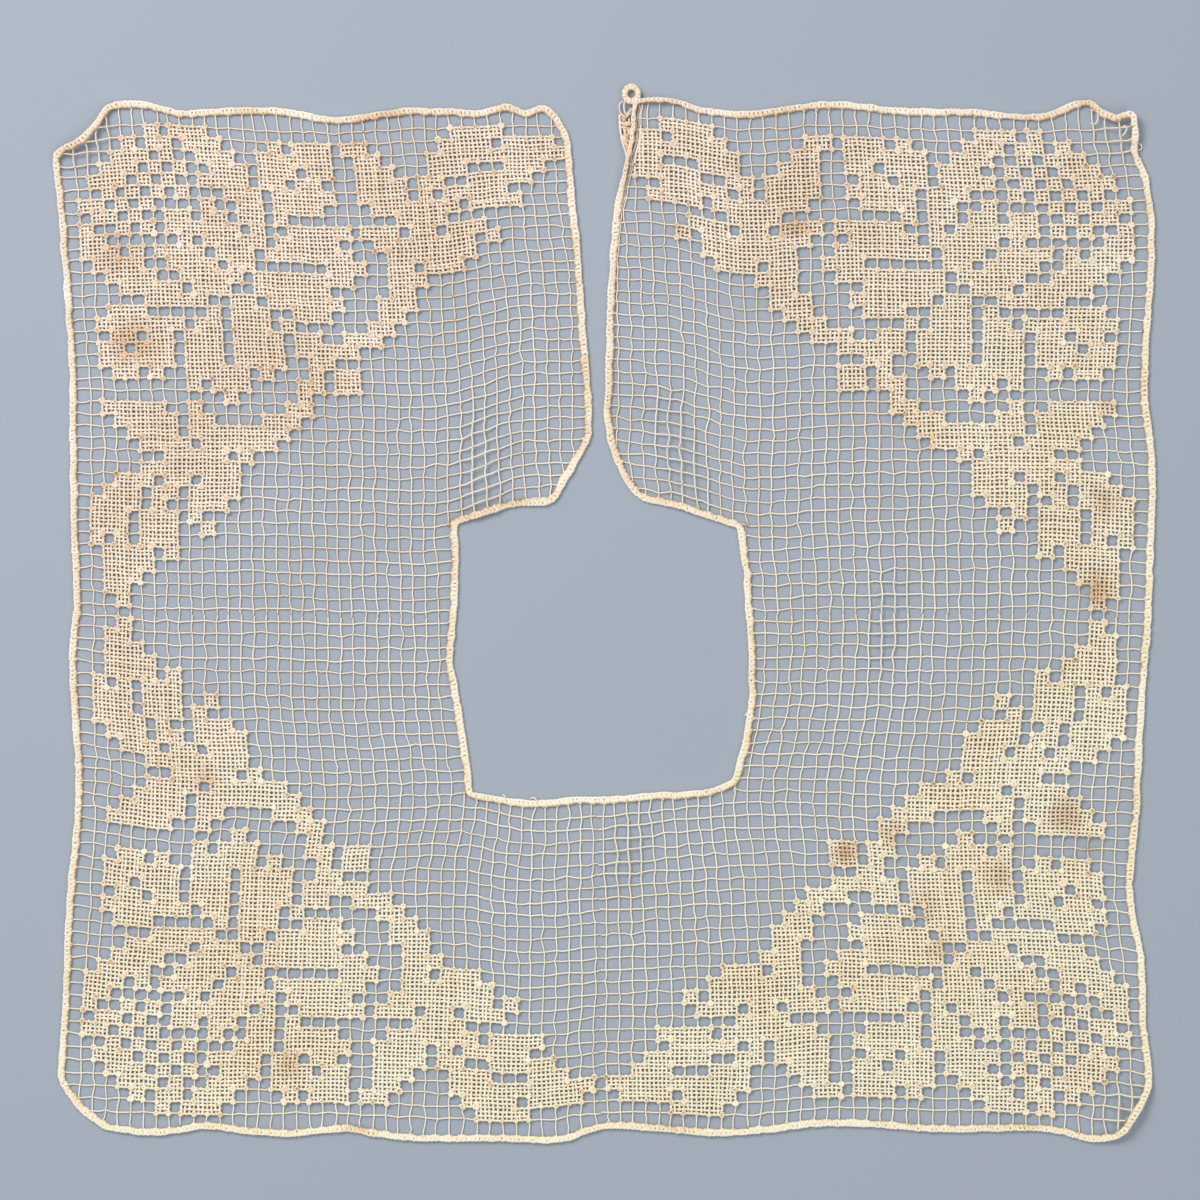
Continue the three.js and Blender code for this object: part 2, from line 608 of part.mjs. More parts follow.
function buttonLoop() {
  const ring = 2 * LOOP.thread;
  const geometry = new THREE.TorusGeometry(ring, LOOP.thread / 2, 8, 18);
  const position = geometry.attributes.position;
  for (let k = 0; k < position.count; k++) {
    const x = position.getX(k),
      y = position.getY(k),
      reach = Math.hypot(x, y) - ring,
      angle = Math.atan2(y, x),
      fromFarSide = (1 - Math.sin(angle)) / 2;
    position.setXYZ(
      k,
      LOOP.x + (LOOP.acrossHalf + reach) * Math.cos(angle),
      LOOP.y + (LOOP.alongHalf + reach) * Math.sin(angle),
      (position.getZ(k) / LOOP.thread + 0.5) * LOOP.height + LOOP.footRise * fromFarSide,
    );
  }
  return geometryOf(solidOf(geometry));
}

function named(name, geometry, look) {
  const mesh = new THREE.Mesh(geometry, new THREE.MeshStandardMaterial(look));
  mesh.name = name;
  return mesh;
}

const collar = new THREE.Group();
collar.name = "lace_collar";
const stations = edgeStations();
collar.add(named("net_ground", netGround(stations), THREAD));
collar.add(named("button_loop", buttonLoop(), CORD_THREAD));
const edging = new THREE.Group();
edging.name = "edging";
for (const run of cordRuns(stations)) edging.add(named("edge_" + run.name, run.geometry, CORD_THREAD));
collar.add(edging);

export default collar;
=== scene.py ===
import math

import bpy
import numpy as np
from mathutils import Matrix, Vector


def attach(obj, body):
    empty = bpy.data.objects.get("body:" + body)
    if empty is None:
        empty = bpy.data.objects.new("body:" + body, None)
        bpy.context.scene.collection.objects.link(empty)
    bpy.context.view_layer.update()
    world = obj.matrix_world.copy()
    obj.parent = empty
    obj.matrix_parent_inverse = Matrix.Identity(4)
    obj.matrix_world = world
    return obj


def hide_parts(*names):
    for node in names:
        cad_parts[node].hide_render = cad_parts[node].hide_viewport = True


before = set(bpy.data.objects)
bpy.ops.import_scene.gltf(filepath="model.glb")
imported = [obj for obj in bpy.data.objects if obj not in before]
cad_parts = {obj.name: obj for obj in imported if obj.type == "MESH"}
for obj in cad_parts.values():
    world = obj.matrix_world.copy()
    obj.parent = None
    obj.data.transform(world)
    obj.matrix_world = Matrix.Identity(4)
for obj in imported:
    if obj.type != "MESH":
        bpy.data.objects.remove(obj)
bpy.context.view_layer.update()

MM = 0.001
rng = np.random.default_rng(41)

# The net's meshes in millimetres. Places on it are counted in meshes from its middle: column, row
MESH_ACROSS = 4.3
MESH_DOWN = 4.1
MIDDLE = (-0.03, 0.16)  # the middle of the laid collar's box, from the net's own middle
# The net's edge, and the lines along the slit and round the neck, in meshes from the middle
HALF_NET = 41.5
SLIT_SIDE = 0.5
NECK_SIDE = 11.5
NECK_FRONT = 7.5
NECK_BACK = 14.5
OUTERMOST = 41  # number of the last mesh from the middle one

# The edging and the threads, in millimetres; thread sizes are radii
EDGE_STEP = 2.2  # between stations along the edge, in meshes
CORD_OUT = 1.75  # from the last net line to the middle of the edging
NET_END = 1.4  # how far the net threads run past the last net line, under the edging
NET_THREAD = 0.27
DARNING_THREAD = 0.46
FLATNESS = 0.76
OPEN_HEIGHT = 0.42
DARNED_HEIGHT = 0.76
WEAVE = 0.28
DARNING_PAIR = 0.165  # each mesh's two darning threads from its middle, in meshes
TURN_OUT = 0.06  # how far a darning thread turns past its last mesh, in meshes

# How far the laid-out net strays to the side along six net lines:
# row, then left, neck left, slit left, slit right, neck right, right
SIDEWAYS_LINES = (-HALF_NET, -NECK_SIDE, -SLIT_SIDE, SLIT_SIDE, NECK_SIDE, HALF_NET)
SIDEWAYS = (
    (41.5, -5.7, -11.7, -11.8, -5.0, -4.8, -1.3),
    (34.0, -2.7, -8.4, -9.1, -4.8, -3.8, 3.4),
    (26.0, -1.2, -5.7, -5.3, -2.6, -2.4, 3.7),
    (18.0, 1.0, -3.6, -4.4, -1.7, -1.4, 2.0),
    (12.0, 1.7, -3.3, -4.4, -2.4, -2.1, 4.4),
    (7.5, 1.3, -3.3, -2.4, -0.7, -1.8, 4.0),
    (0.0, 1.9, -2.3, -1.4, -0.3, 0.1, 3.0),
    (-7.0, 2.2, -1.6, -0.4, -0.3, -0.7, 1.3),
    (-14.5, 3.0, 2.1, -2.0, -2.7, -5.8, -0.7),
    (-21.0, 1.7, -1.3, -1.7, -2.0, -3.1, -2.4),
    (-28.0, -0.3, -1.3, -1.0, -1.3, -1.1, 1.0),
    (-35.0, -2.2, -2.3, -1.7, -1.7, -0.6, 3.0),
    (-41.5, -3.0, -2.6, -1.0, -1.0, -1.4, 3.7),
)
# How far it strays to the front along four net lines: column, then front, neck front, neck back, back
FORWARD_LINES = (HALF_NET, NECK_FRONT, -NECK_BACK, -HALF_NET)
FORWARD = (
    (-41.5, -3.2, 1.8, 4.3, -0.5),
    (-35.0, -0.8, 0.6, 0.3, -1.6),
    (-28.0, -1.8, 0.8, -0.7, -1.9),
    (-20.0, -3.5, 0.1, -1.9, -1.9),
    (-11.5, -2.2, -0.2, -0.7, -3.6),
    (-6.0, -1.5, 8.2, -5.1, -3.9),
    (-0.5, -0.8, 9.5, -4.4, -1.6),
    (0.5, 0.9, 9.5, -4.1, -1.2),
    (6.0, 1.2, 6.2, -1.7, -1.6),
    (11.5, -2.2, -0.2, 0.6, -2.2),
    (18.0, -0.8, 0.8, 0.0, 0.1),
    (26.0, -2.2, 1.8, -1.7, -0.5),
    (34.0, -3.2, 2.0, -1.7, -1.6),
    (41.5, -1.8, 0.1, -3.1, -4.9),
)

# Soft places where the cloth stands off the table: x, y, length, width, turn, height
LIFTS = (
    (-42, 49, 30, 10, 92, 1.3),
    (25, 55, 30, 10, 108, 1.4),
    (95, -2, 24, 9, 80, 1.0),
    (7, -81, 20, 9, 70, 1.0),
    (-179, 165, 18, 18, 0, 3.0),
    (179, 169, 18, 18, 0, 3.0),
    (181, -171, 18, 18, 0, 2.6),
)

# The corners of the finished edge, once round with the cloth on the left: column, row, radius
EDGE_CORNERS = {
    "outer_front_left": (
        (-2.0, 41.7, 0.7), (-3.5, 41.0, 0.8), (-4.9, 41.8, 0.8), (-6.8, 41.1, 0.8), (-12.2, 41.7, 1.5),
        (-18.6, 41.0, 1.6), (-23.3, 41.8, 1.5), (-28.6, 41.4, 1.5), (-31.5, 40.9, 1.2), (-34.6, 41.9, 1.0),
    ),
    "outer_left": (
        (-37.2, 41.7, 0.6), (-37.9, 40.6, 0.5), (-39.2, 39.3, 0.6), (-41.6, 38.3, 0.5), (-41.5, 33.0, 1.5),
        (-41.3, 25.0, 2.0), (-41.6, 13.0, 2.0), (-41.3, 0.8, 1.2), (-41.8, -4.4, 1.5), (-41.4, -16.0, 2.0),
        (-41.7, -24.1, 2.0), (-41.4, -33.5, 1.5), (-41.6, -37.9, 0.7),
    ),
    "outer_back": (
        (-40.8, -39.2, 0.6), (-39.7, -40.4, 0.6), (-38.2, -41.4, 0.7), (-34.6, -41.7, 1.0),
        (-31.0, -41.0, 1.2), (-24.0, -41.8, 1.6), (-20.1, -41.2, 1.4), (-15.4, -41.8, 1.6),
        (-7.7, -41.5, 1.5), (-3.2, -42.0, 1.0), (0.2, -41.1, 1.0), (8.0, -41.6, 2.0), (17.0, -41.2, 2.0),
        (26.0, -41.7, 2.0), (34.5, -41.3, 1.2),
    ),
    "outer_right": (
        (37.4, -41.9, 0.9), (39.2, -41.5, 0.7), (40.6, -39.4, 0.9), (41.5, -37.4, 0.8), (41.2, -33.1, 1.3),
        (41.5, -27.4, 1.5), (41.2, -22.5, 1.5), (41.5, -17.0, 1.8), (41.3, -9.6, 1.8), (41.5, 4.7, 2.5),
        (41.5, 17.8, 2.0), (41.3, 23.7, 2.0), (41.6, 32.0, 1.5), (41.4, 36.4, 0.9), (40.9, 38.3, 0.5),
    ),
    "outer_front_right": (
        (41.3, 41.2, 0.4), (40.3, 40.8, 0.4), (39.0, 41.5, 0.4), (38.3, 42.4, 0.5), (37.4, 42.2, 0.6),
        (34.9, 41.2, 0.8), (29.5, 41.6, 1.5), (23.9, 41.4, 1.5), (19.7, 41.8, 1.5), (13.2, 41.3, 1.5),
        (8.6, 41.2, 1.2), (6.2, 41.7, 0.8),
    ),
    "slit_right": (
        (3.85, 41.6, 0.3), (3.65, 38.6, 1.0), (3.3, 36.9, 1.0), (2.6, 33.4, 1.5), (1.75, 28.2, 2.0),
        (1.25, 22.0, 2.0), (1.1, 14.4, 1.5), (2.1, 10.2, 1.0),
    ),
    "neck_front_right": ((3.3, 8.1, 0.8),),
    "neck_right": ((11.5, 7.9, 1.0), (11.9, -3.0, 2.5), (12.3, -10.8, 1.2)),
    "neck_back": ((11.9, -14.2, 0.9), (9.8, -15.0, 1.0), (-2.4, -14.4, 2.5)),
    "neck_left": ((-11.5, -15.0, 0.9), (-11.6, -7.0, 1.5), (-12.1, -3.2, 1.0), (-11.4, 4.0, 1.5)),
    "neck_front_left": ((-11.4, 8.2, 0.9), (-6.0, 7.7, 1.5)),
    "slit_left": (
        (-3.8, 7.4, 0.8), (-0.5, 13.0, 1.0), (-1.2, 24.0, 3.5), (-0.8, 36.5, 2.0), (-0.8, 39.4, 0.8),
    ),
}
EDGE = [(run, *corner) for run, corners in EDGE_CORNERS.items() for corner in corners]
# The right slit edge, where net lines are drawn together: row, column
SLIT_RIM = (
    (8.0, 3.6), (9.8, 2.1), (12.8, 1.15), (20.0, 1.2), (28.2, 1.75),
    (33.4, 2.6), (36.9, 3.3), (38.6, 3.65), (41.5, 3.85),
)
CLIMB = 1.35  # how high the edging climbs onto the corner that is folded over
LOOP = dict(x=9.1, y=175.5, across=1.95, along=2.25, thread=2.25, height=1.6, foot_rise=1.3)

# The darning, charted for half a corner: X is darned, the first character is the outermost mesh
DARNING = {
    4: (
        "...XX",
        "..XXX",
        "...X.X",
        ".XX.X.X",
        "..XX.X..X",
        ".X..X.X.XX",
        ".XX......X",
        ".XXX.X.XXXX",
        "..XXXX..XXXX",
        "...XXXX..XXXXX",
        "....XXXXX.XXX",
        "......XXXXX..XX",
    ),
    16: (
        "...XXX.....X.XXX",
        "..XXXXXXX.XX.XXX.X",
        "...XX.XX.XXX.XXXX.X",
        "..XX.XXX.XXX.XXXX.XX",
        "..XXXXXX.XXX.XXXX..XX",
        "...XX.X..XXXXX.X...X.X",
        ".........X.XXX....XX.XX",
        "............X.....X",
    ),
    24: (
        "..XXXXX..X.......XX",
        "...XXXXX.XX....XXX",
        "....XXXX.XXXXXXXX",
        ".....XXXX.XXXXXX",
        ".......XXXXX.X",
        ".....XXXXXXXX",
    ),
    30: (
        "...XXX.XX.XXX",
        "..XXX.XX.XXXX",
        ".XXXX.X..XXX",
        ".XXX.XXX.X",
        ".XXX.XXX..X",
        ".X.X.XXX",
        "..XXXX.X",
        "..XXXX",
        "..XXX",
        "..XX",
        "...X",
    ),
}
EXTRA_ALONG_FRONT_AND_BACK = ((21, 2), (23, 2))


# Laying out the net

def curve_weights(t):
    """Along a smooth curve: how much the start, its slope, the end and its slope count."""
    return 2 * t**3 - 3 * t**2 + 1, t**3 - 2 * t**2 + t, 3 * t**2 - 2 * t**3, t**3 - t**2


def smooth_through(stations, at):
    """A smooth line through (place, value) stations."""
    s = np.array(sorted(stations))
    x = np.clip(at, s[0, 0], s[-1, 0])
    k = np.clip(np.searchsorted(s[:, 0], x, side="left") - 1, 0, len(s) - 2)
    doubled_ends = np.vstack([s[:1], s, s[-1:]])
    run, rise = (doubled_ends[2:] - doubled_ends[:-2]).T
    slope = rise / run
    h = s[k + 1, 0] - s[k, 0]
    start, leaving, end, arriving = curve_weights((x - s[k, 0]) / h)
    return start * s[k, 1] + leaving * h * slope[k] + end * s[k + 1, 1] + arriving * h * slope[k + 1]


def between_lines(lines, place, values):
    """Straight between neighbouring lines; values holds one array a line."""
    order = np.argsort(lines)
    places = np.array(lines)[order]
    stack = np.array(values)[order]
    k = np.clip(np.searchsorted(places, place, side="left") - 1, 0, len(places) - 2)
    t = np.clip((place - places[k]) / (places[k + 1] - places[k]), 0, 1)
    pick = np.arange(len(place))
    return stack[k, pick] * (1 - t) + stack[k + 1, pick] * t


def on_table(column, row):
    """Where a place on the net lies on the table, in millimetres."""
    column, row = np.atleast_1d(np.asarray(column, float)), np.atleast_1d(np.asarray(row, float))
    column, row = np.broadcast_arrays(column, row)
    side = [smooth_through([(s[0], s[k]) for s in SIDEWAYS], row) for k in range(1, 7)]
    ahead = [smooth_through([(s[0], s[k]) for s in FORWARD], column) for k in range(1, 5)]
    x = MESH_ACROSS * column + between_lines(SIDEWAYS_LINES, column, side) - MIDDLE[0]
    y = MESH_DOWN * row + between_lines(FORWARD_LINES, row, ahead) - MIDDLE[1]
    return np.stack([x, y], axis=-1)


def lift_at(points):
    """How far the cloth stands off the table."""
    lift = np.zeros(len(points))
    for x, y, length, width, turn, height in LIFTS:
        a = math.radians(turn)
        dx, dy = points[:, 0] - x, points[:, 1] - y
        along = (dx * math.cos(a) + dy * math.sin(a)) / length
        across = (dy * math.cos(a) - dx * math.sin(a)) / width
        near = (np.abs(along) < 1) & (np.abs(across) < 1)
        lift += np.where(near, height * (1 - along**2) ** 2 * (1 - across**2) ** 2, 0)
    return lift


def is_darned(column, row):
    """Whether the chart has a mesh darned, after folding all eight half corners onto one."""
    from_side, from_front = OUTERMOST - abs(column), OUTERMOST - abs(row)
    line, mesh = max(from_side, from_front), min(from_side, from_front)
    if mesh < 0:
        return False
    if from_side > from_front and (line, mesh) in EXTRA_ALONG_FRONT_AND_BACK:
        return True
    return any(
        first <= line < first + len(chart) and chart[line - first][mesh : mesh + 1] == "X"
        for first, chart in DARNING.items()
    )


def unit(rows):
    """Rows of numbers, each scaled to a length of one."""
    return rows / np.maximum(np.linalg.norm(rows, axis=1), 1e-9)[:, None]


def edge_stations():
    """Stations round the edge: their runs, places on the net, places on the table and outward directions."""
    runs, places = [], []
    corners = np.array([[e[1], e[2]] for e in EDGE])
    for k, (run, _, _, radius) in enumerate(EDGE):
        here, before, after = corners[k], corners[k - 1], corners[(k + 1) % len(EDGE)]
        back, ahead = before - here, after - here
        far = np.hypot(*ahead)
        reach = min(radius, np.hypot(*back) / 2.2, far / 2.2)
        start = here + back / np.hypot(*back) * reach
        end = here + ahead / far * reach
        for t in (0, 0.5, 1):
            places.append((1 - t) ** 2 * start + 2 * t * (1 - t) * here + t**2 * end)
        length = far - reach - min(EDGE[(k + 1) % len(EDGE)][3], far / 2.2)
        steps = max(1, math.floor(length / EDGE_STEP + 0.5))
        for n in range(1, steps):
            places.append(end + ahead / far * length * n / steps)
        runs += [run] * (len(places) - len(runs))
    places = np.array(places)
    points = on_table(places[:, 0], places[:, 1])
    one = unit(points - np.roll(points, 1, axis=0))
    two = unit(np.roll(points, -1, axis=0) - points)
    along = unit(one + two)
    outward = np.stack([along[:, 1], -along[:, 0]], axis=1)
    miter = 1 / np.maximum(0.5, np.sqrt((1 + (one * two).sum(axis=1)) / 2))
    return runs, places, points, outward * miter[:, None]


EDGE_RUNS, EDGE_PLACES, EDGE_POINTS, EDGE_OUTWARD = edge_stations()
NET_OUTLINE = EDGE_POINTS + EDGE_OUTWARD * NET_END


def inside_outline(points, outline):
    """Which points lie inside a closed outline."""
    x, y = points[:, 0][:, None], points[:, 1][:, None]
    a, b = outline, np.roll(outline, 1, axis=0)
    crosses = (a[:, 1] > y) != (b[:, 1] > y)
    with np.errstate(divide="ignore", invalid="ignore"):
        at = (b[:, 0] - a[:, 0]) * (y - a[:, 1]) / (b[:, 1] - a[:, 1]) + a[:, 0]
    return (crosses & (x < at)).sum(axis=1) % 2 == 1


# The net as a lattice of nodes; each node is shifted a little, as a knot tied by hand is
NODES = 84
CENTRE = OUTERMOST + 1  # number of the middle mesh in DARNED
# DARNED[i, j]: the mesh between lines i-1 and i, j-1 and j
DARNED = np.array([[is_darned(i - CENTRE, j - CENTRE) for j in range(NODES + 1)] for i in range(NODES + 1)])
MESH_PLACES = np.arange(NODES + 1) - float(CENTRE)
MESHES = np.stack(np.meshgrid(MESH_PLACES, MESH_PLACES, indexing="ij"), axis=-1)
DARNED &= inside_outline(MESHES.reshape(-1, 2), EDGE_PLACES).reshape(DARNED.shape)
OPEN_NODES = np.array([[not DARNED[i : i + 2, j : j + 2].any() for j in range(NODES)] for i in range(NODES)])
NODE_SHIFT = rng.normal(0, 1, (NODES, NODES, 2)) * np.where(OPEN_NODES, 0.27, 0.14)[..., None]


def net_point(column, row):
    """The net's place with the hand-tied unevenness of its four nearest nodes."""
    u = np.clip(np.asarray(column, float) + HALF_NET, 0, NODES - 1.001)
    v = np.clip(np.asarray(row, float) + HALF_NET, 0, NODES - 1.001)
    i, j = np.floor(u).astype(int), np.floor(v).astype(int)
    fu, fv = (u - i)[..., None], (v - j)[..., None]
    return on_table(column, row) + (
        NODE_SHIFT[i, j] * (1 - fu) * (1 - fv)
        + NODE_SHIFT[i + 1, j] * fu * (1 - fv)
        + NODE_SHIFT[i, j + 1] * (1 - fu) * fv
        + NODE_SHIFT[i + 1, j + 1] * fu * fv
    )


# Making meshes

def distance_along(path):
    """How far each station lies from the first, along the path."""
    return np.concatenate([[0], np.cumsum(np.linalg.norm(np.diff(path, axis=0), axis=1))])


def into_scene(name, data):
    obj = bpy.data.objects.new(name, data)
    bpy.context.scene.collection.objects.link(obj)
    return obj


class Threads:
    """The tubes and knots of one piece, each point with a tone and a place along its thread."""

    def __init__(self):
        self.points, self.quads, self.caps = [], [], []
        self.uvs, self.cap_uvs, self.tones = [], [], []
        self.count = 0

    def tube(self, path, radius, sides=4, closed=False, tone=0.5, squash=1.0, shading=0.2):
        """A thread along a path, flattened by squash, with painted light on its top and painted shade on its
        underside by shading.
        """
        path = np.asarray(path, float)
        n = len(path)
        radius = np.broadcast_to(np.asarray(radius, float), (n,))
        around = np.roll(path, -1, axis=0) - np.roll(path, 1, axis=0)
        tangent = unit(around if closed else np.gradient(path, axis=0))
        side = np.stack([tangent[:, 1], -tangent[:, 0], np.zeros(n)], axis=1)
        side[np.linalg.norm(side, axis=1) < 1e-6] = (1, 0, 0)
        side = unit(side)
        up = np.cross(side, tangent)
        angle = 2 * np.pi * (np.arange(sides) + 0.25) / sides
        ring = (
            path[:, None, :]
            + side[:, None, :] * (np.cos(angle) * radius[:, None])[..., None]
            + up[:, None, :] * (np.sin(angle) * radius[:, None] * squash)[..., None]
        )
        # Painted light and shade: the tone is raised on the tube's top and lowered on its underside.
        shade = np.broadcast_to(np.asarray(tone, float), (n,))[:, None] + shading * np.sin(angle)
        self.skin(ring, closed, distance_along(path), shade)

    def skin(self, ring, closed, along, tone):
        """Faces over rings of points, with their places along the thread and their tones."""
        n, sides = ring.shape[:2]
        index = np.arange(n * sides).reshape(n, sides) + self.count
        last = n if closed else n - 1
        k = np.arange(last)
        a, b = index[k], index[(k + 1) % n]
        quads = np.stack([a, b, np.roll(b, -1, axis=1), np.roll(a, -1, axis=1)], axis=-1).reshape(-1, 4)
        places = np.append(along, along[-1] + along[-1] / max(1, n - 1))[: last + 1, None]
        start, stop = places[:-1], places[1:]
        low = np.arange(sides) / sides
        high = low + 1 / sides
        corners = ((start, low), (stop, low), (stop, high), (start, high))
        uv = np.stack([np.stack(np.broadcast_arrays(*corner), -1) for corner in corners], axis=2)
        self.points.append(ring.reshape(-1, 3))
        self.quads.append(quads)
        self.uvs.append(uv.reshape(-1, 2))
        if not closed:
            for cap, place in ((index[0], along[0]), (index[-1][::-1], along[-1])):
                self.caps.append(cap)
                self.cap_uvs.append(np.stack([np.full(sides, place), np.arange(sides) / sides], axis=1))
        self.tones.append(np.clip(np.broadcast_to(tone, (n, sides)), 0, 1).ravel())
        self.count += n * sides

    def wrapped_knot(self, x, y, height, size):
        """A low round knot with a dimple, with a painted highlight at its crest and painted shade at its
        foot and in its dimple.
        """
        sides = 7
        angle = -2 * np.pi * (np.arange(sides) + rng.uniform(0, 1)) / sides
        shape = np.array([(0.72, -0.36), (1.0, -0.04), (0.84, 0.26), (0.5, 0.14)])
        lean = 0.14 * np.cos(angle + rng.uniform(0, 6))
        uneven = size * rng.uniform(0.74, 1.2, sides) * shape[:, :1]
        heights = height + shape[:, 1:] + lean * shape[:, :1]
        ring = np.stack([x + uneven * np.cos(angle), y + uneven * np.sin(angle), heights], -1)
        # Painted light and shade: from the foot up the tones go dark, middling, bright at the crest, then
        # darker again in the dimple.
        dimple = rng.choice([0.36, 0.5, 0.56, 0.6])
        tone = np.array([0.25, 0.6, 0.8, dimple])[:, None] + rng.normal(0, 0.05)
        tone = tone + rng.normal(0, 0.1, (len(shape), sides))
        self.skin(ring, False, np.arange(len(shape)) * 0.4, tone)

    def knots(self, centres, size, tone):
        """Small round knots: size is (across, along, height) halves."""
        if not len(centres):
            return
        corner, faces = ICOSAHEDRON
        turn = rng.uniform(0, 2 * np.pi, len(centres))
        scale = rng.uniform(0.85, 1.15, (len(centres), 1))
        c, s = np.cos(turn)[:, None], np.sin(turn)[:, None]
        x, y, z = (corner * size).T
        ball = np.stack([(x * c - y * s) * scale, (x * s + y * c) * scale, z + 0 * c], -1)
        ball += np.asarray(centres)[:, None, :]
        n = len(corner)
        index = faces[None] + (np.arange(len(centres)) * n)[:, None, None] + self.count
        self.points.append(ball.reshape(-1, 3))
        for face in index.reshape(-1, 3):
            self.caps.append(face)
            self.cap_uvs.append(np.zeros((3, 2)))
        tones = np.clip(tone + rng.normal(0, 0.12, len(centres)), 0, 1)
        self.tones.append(np.repeat(tones, n))
        self.count += len(centres) * n

    def piece(self, name, material):
        """The collected threads as one object at the origin."""
        points = np.concatenate(self.points) * MM
        quads = np.concatenate(self.quads)
        sizes = np.array([len(c) for c in self.caps], int)
        loops = np.concatenate([quads.ravel()] + self.caps)
        totals = np.concatenate([np.full(len(quads), 4), sizes])
        starts = np.concatenate([[0], np.cumsum(totals)[:-1]])
        mesh = bpy.data.meshes.new(name)
        for part, label, values in (
            (mesh.vertices, "co", points.astype(np.float32)),
            (mesh.loops, "vertex_index", loops.astype(np.int32)),
            (mesh.polygons, "loop_start", starts.astype(np.int32)),
        ):
            part.add(len(values))
            part.foreach_set(label, values.ravel())
        mesh.polygons.foreach_set("loop_total", totals.astype(np.int32))
        mesh.update(calc_edges=True)
        uv = mesh.uv_layers.new(name="along_thread")
        coords = np.concatenate(self.uvs + self.cap_uvs)
        uv.data.foreach_set("uv", coords.astype(np.float32).ravel())
        tone = mesh.attributes.new("tone", "FLOAT", "POINT")
        tone.data.foreach_set("value", np.concatenate(self.tones).astype(np.float32))
        mesh.polygons.foreach_set("use_smooth", np.ones(len(totals), bool))
        mesh.materials.append(material)
        return into_scene(name, mesh)


def icosahedron():
    """The corners and faces of a twenty-sided ball, one unit in radius."""
    g = (1 + 5**0.5) / 2
    corners = np.array([
        (-1, g, 0), (1, g, 0), (-1, -g, 0), (1, -g, 0), (0, -1, g), (0, 1, g),
        (0, -1, -g), (0, 1, -g), (g, 0, -1), (g, 0, 1), (-g, 0, -1), (-g, 0, 1),
    ])
    faces = np.array([
        (0, 11, 5), (0, 5, 1), (0, 1, 7), (0, 7, 10), (0, 10, 11),
        (1, 5, 9), (5, 11, 4), (11, 10, 2), (10, 7, 6), (7, 1, 8),
        (3, 9, 4), (3, 4, 2), (3, 2, 6), (3, 6, 8), (3, 8, 9),
        (4, 9, 5), (2, 4, 11), (6, 2, 10), (8, 6, 7), (9, 8, 1),
    ])
    return corners / np.linalg.norm(corners[0]), faces


ICOSAHEDRON = icosahedron()
PANELS = ("front_left", "front_right", "back_left", "back_right")
nets = {name: Threads() for name in PANELS}


def panel_of(column, row):
    """The panel that a place on the net or on the table belongs to."""
    return ("front_" if row > 0 else "back_") + ("left" if column < 0 else "right")


def with_height(points, height):
    """Places on the table, raised by the cloth's own lift and a height above it."""
    return np.column_stack([points, lift_at(points) + height])


# The net

def bunched(column, row):
    """Beside the right slit edge the net lines are drawn together instead of being cut off one by one."""
    rim = np.interp(row, *zip(*SLIT_RIM))
    pulled = rim - 0.06 + 0.14 * (column - 1.5)
    near = (column > 0.9) & (column < 4.6) & (row > 12)
    return np.where(near & (pulled > column), pulled, column)


def net_lines():
    """Every net line cut to the outline: is it lengthwise, its number, and where each piece runs."""
    to_a_mesh, beyond = 12, 18
    fine = np.arange(-beyond, (NODES - 1) * to_a_mesh + beyond + 1) / to_a_mesh - HALF_NET
    for lengthwise in (True, False):
        for number in range(1, NODES - 1):
            place = number - HALF_NET
            across = np.full(len(fine), place)
            column, row = (bunched(across, fine), fine) if lengthwise else (fine, across)
            inside = inside_outline(on_table(column, row), NET_OUTLINE)
            # along the slit and round the neck the edging takes the place of these lines
            if lengthwise and abs(place) == SLIT_SIDE:
                inside &= row < -NECK_BACK + 0.5
            if lengthwise and abs(place) == NECK_SIDE:
                inside &= (row < -NECK_BACK + (0.4 if place > 0 else 0.05)) | (row > NECK_FRONT - 0.05)
            if not lengthwise and place == -NECK_BACK:
                inside &= np.abs(column) > NECK_SIDE - 0.1
            edges = np.flatnonzero(np.diff(np.concatenate([[0], inside.astype(int), [0]])))
            for a, b in zip(edges[::2], edges[1::2]):
                if b - a < 3:
                    continue
                # parted at the middle, where the panels meet
                for low, high in ((fine[a], min(fine[b - 1], 0)), (max(fine[a], 0), fine[b - 1])):
                    if high - low > 0.2:
                        yield lengthwise, number, low, high


def line_state(lengthwise, number, other):
    """Beside a net line, from the crossing `other` to the next: 0 open, 1 darned on one side, 2 on both."""
    pair = DARNED[number : number + 2, other + 1] if lengthwise else DARNED[other + 1, number : number + 2]
    return int(pair.sum())


def woven(over):
    """The height of a thread that goes over (1) or under (-1) another."""
    return DARNED_HEIGHT + WEAVE * over


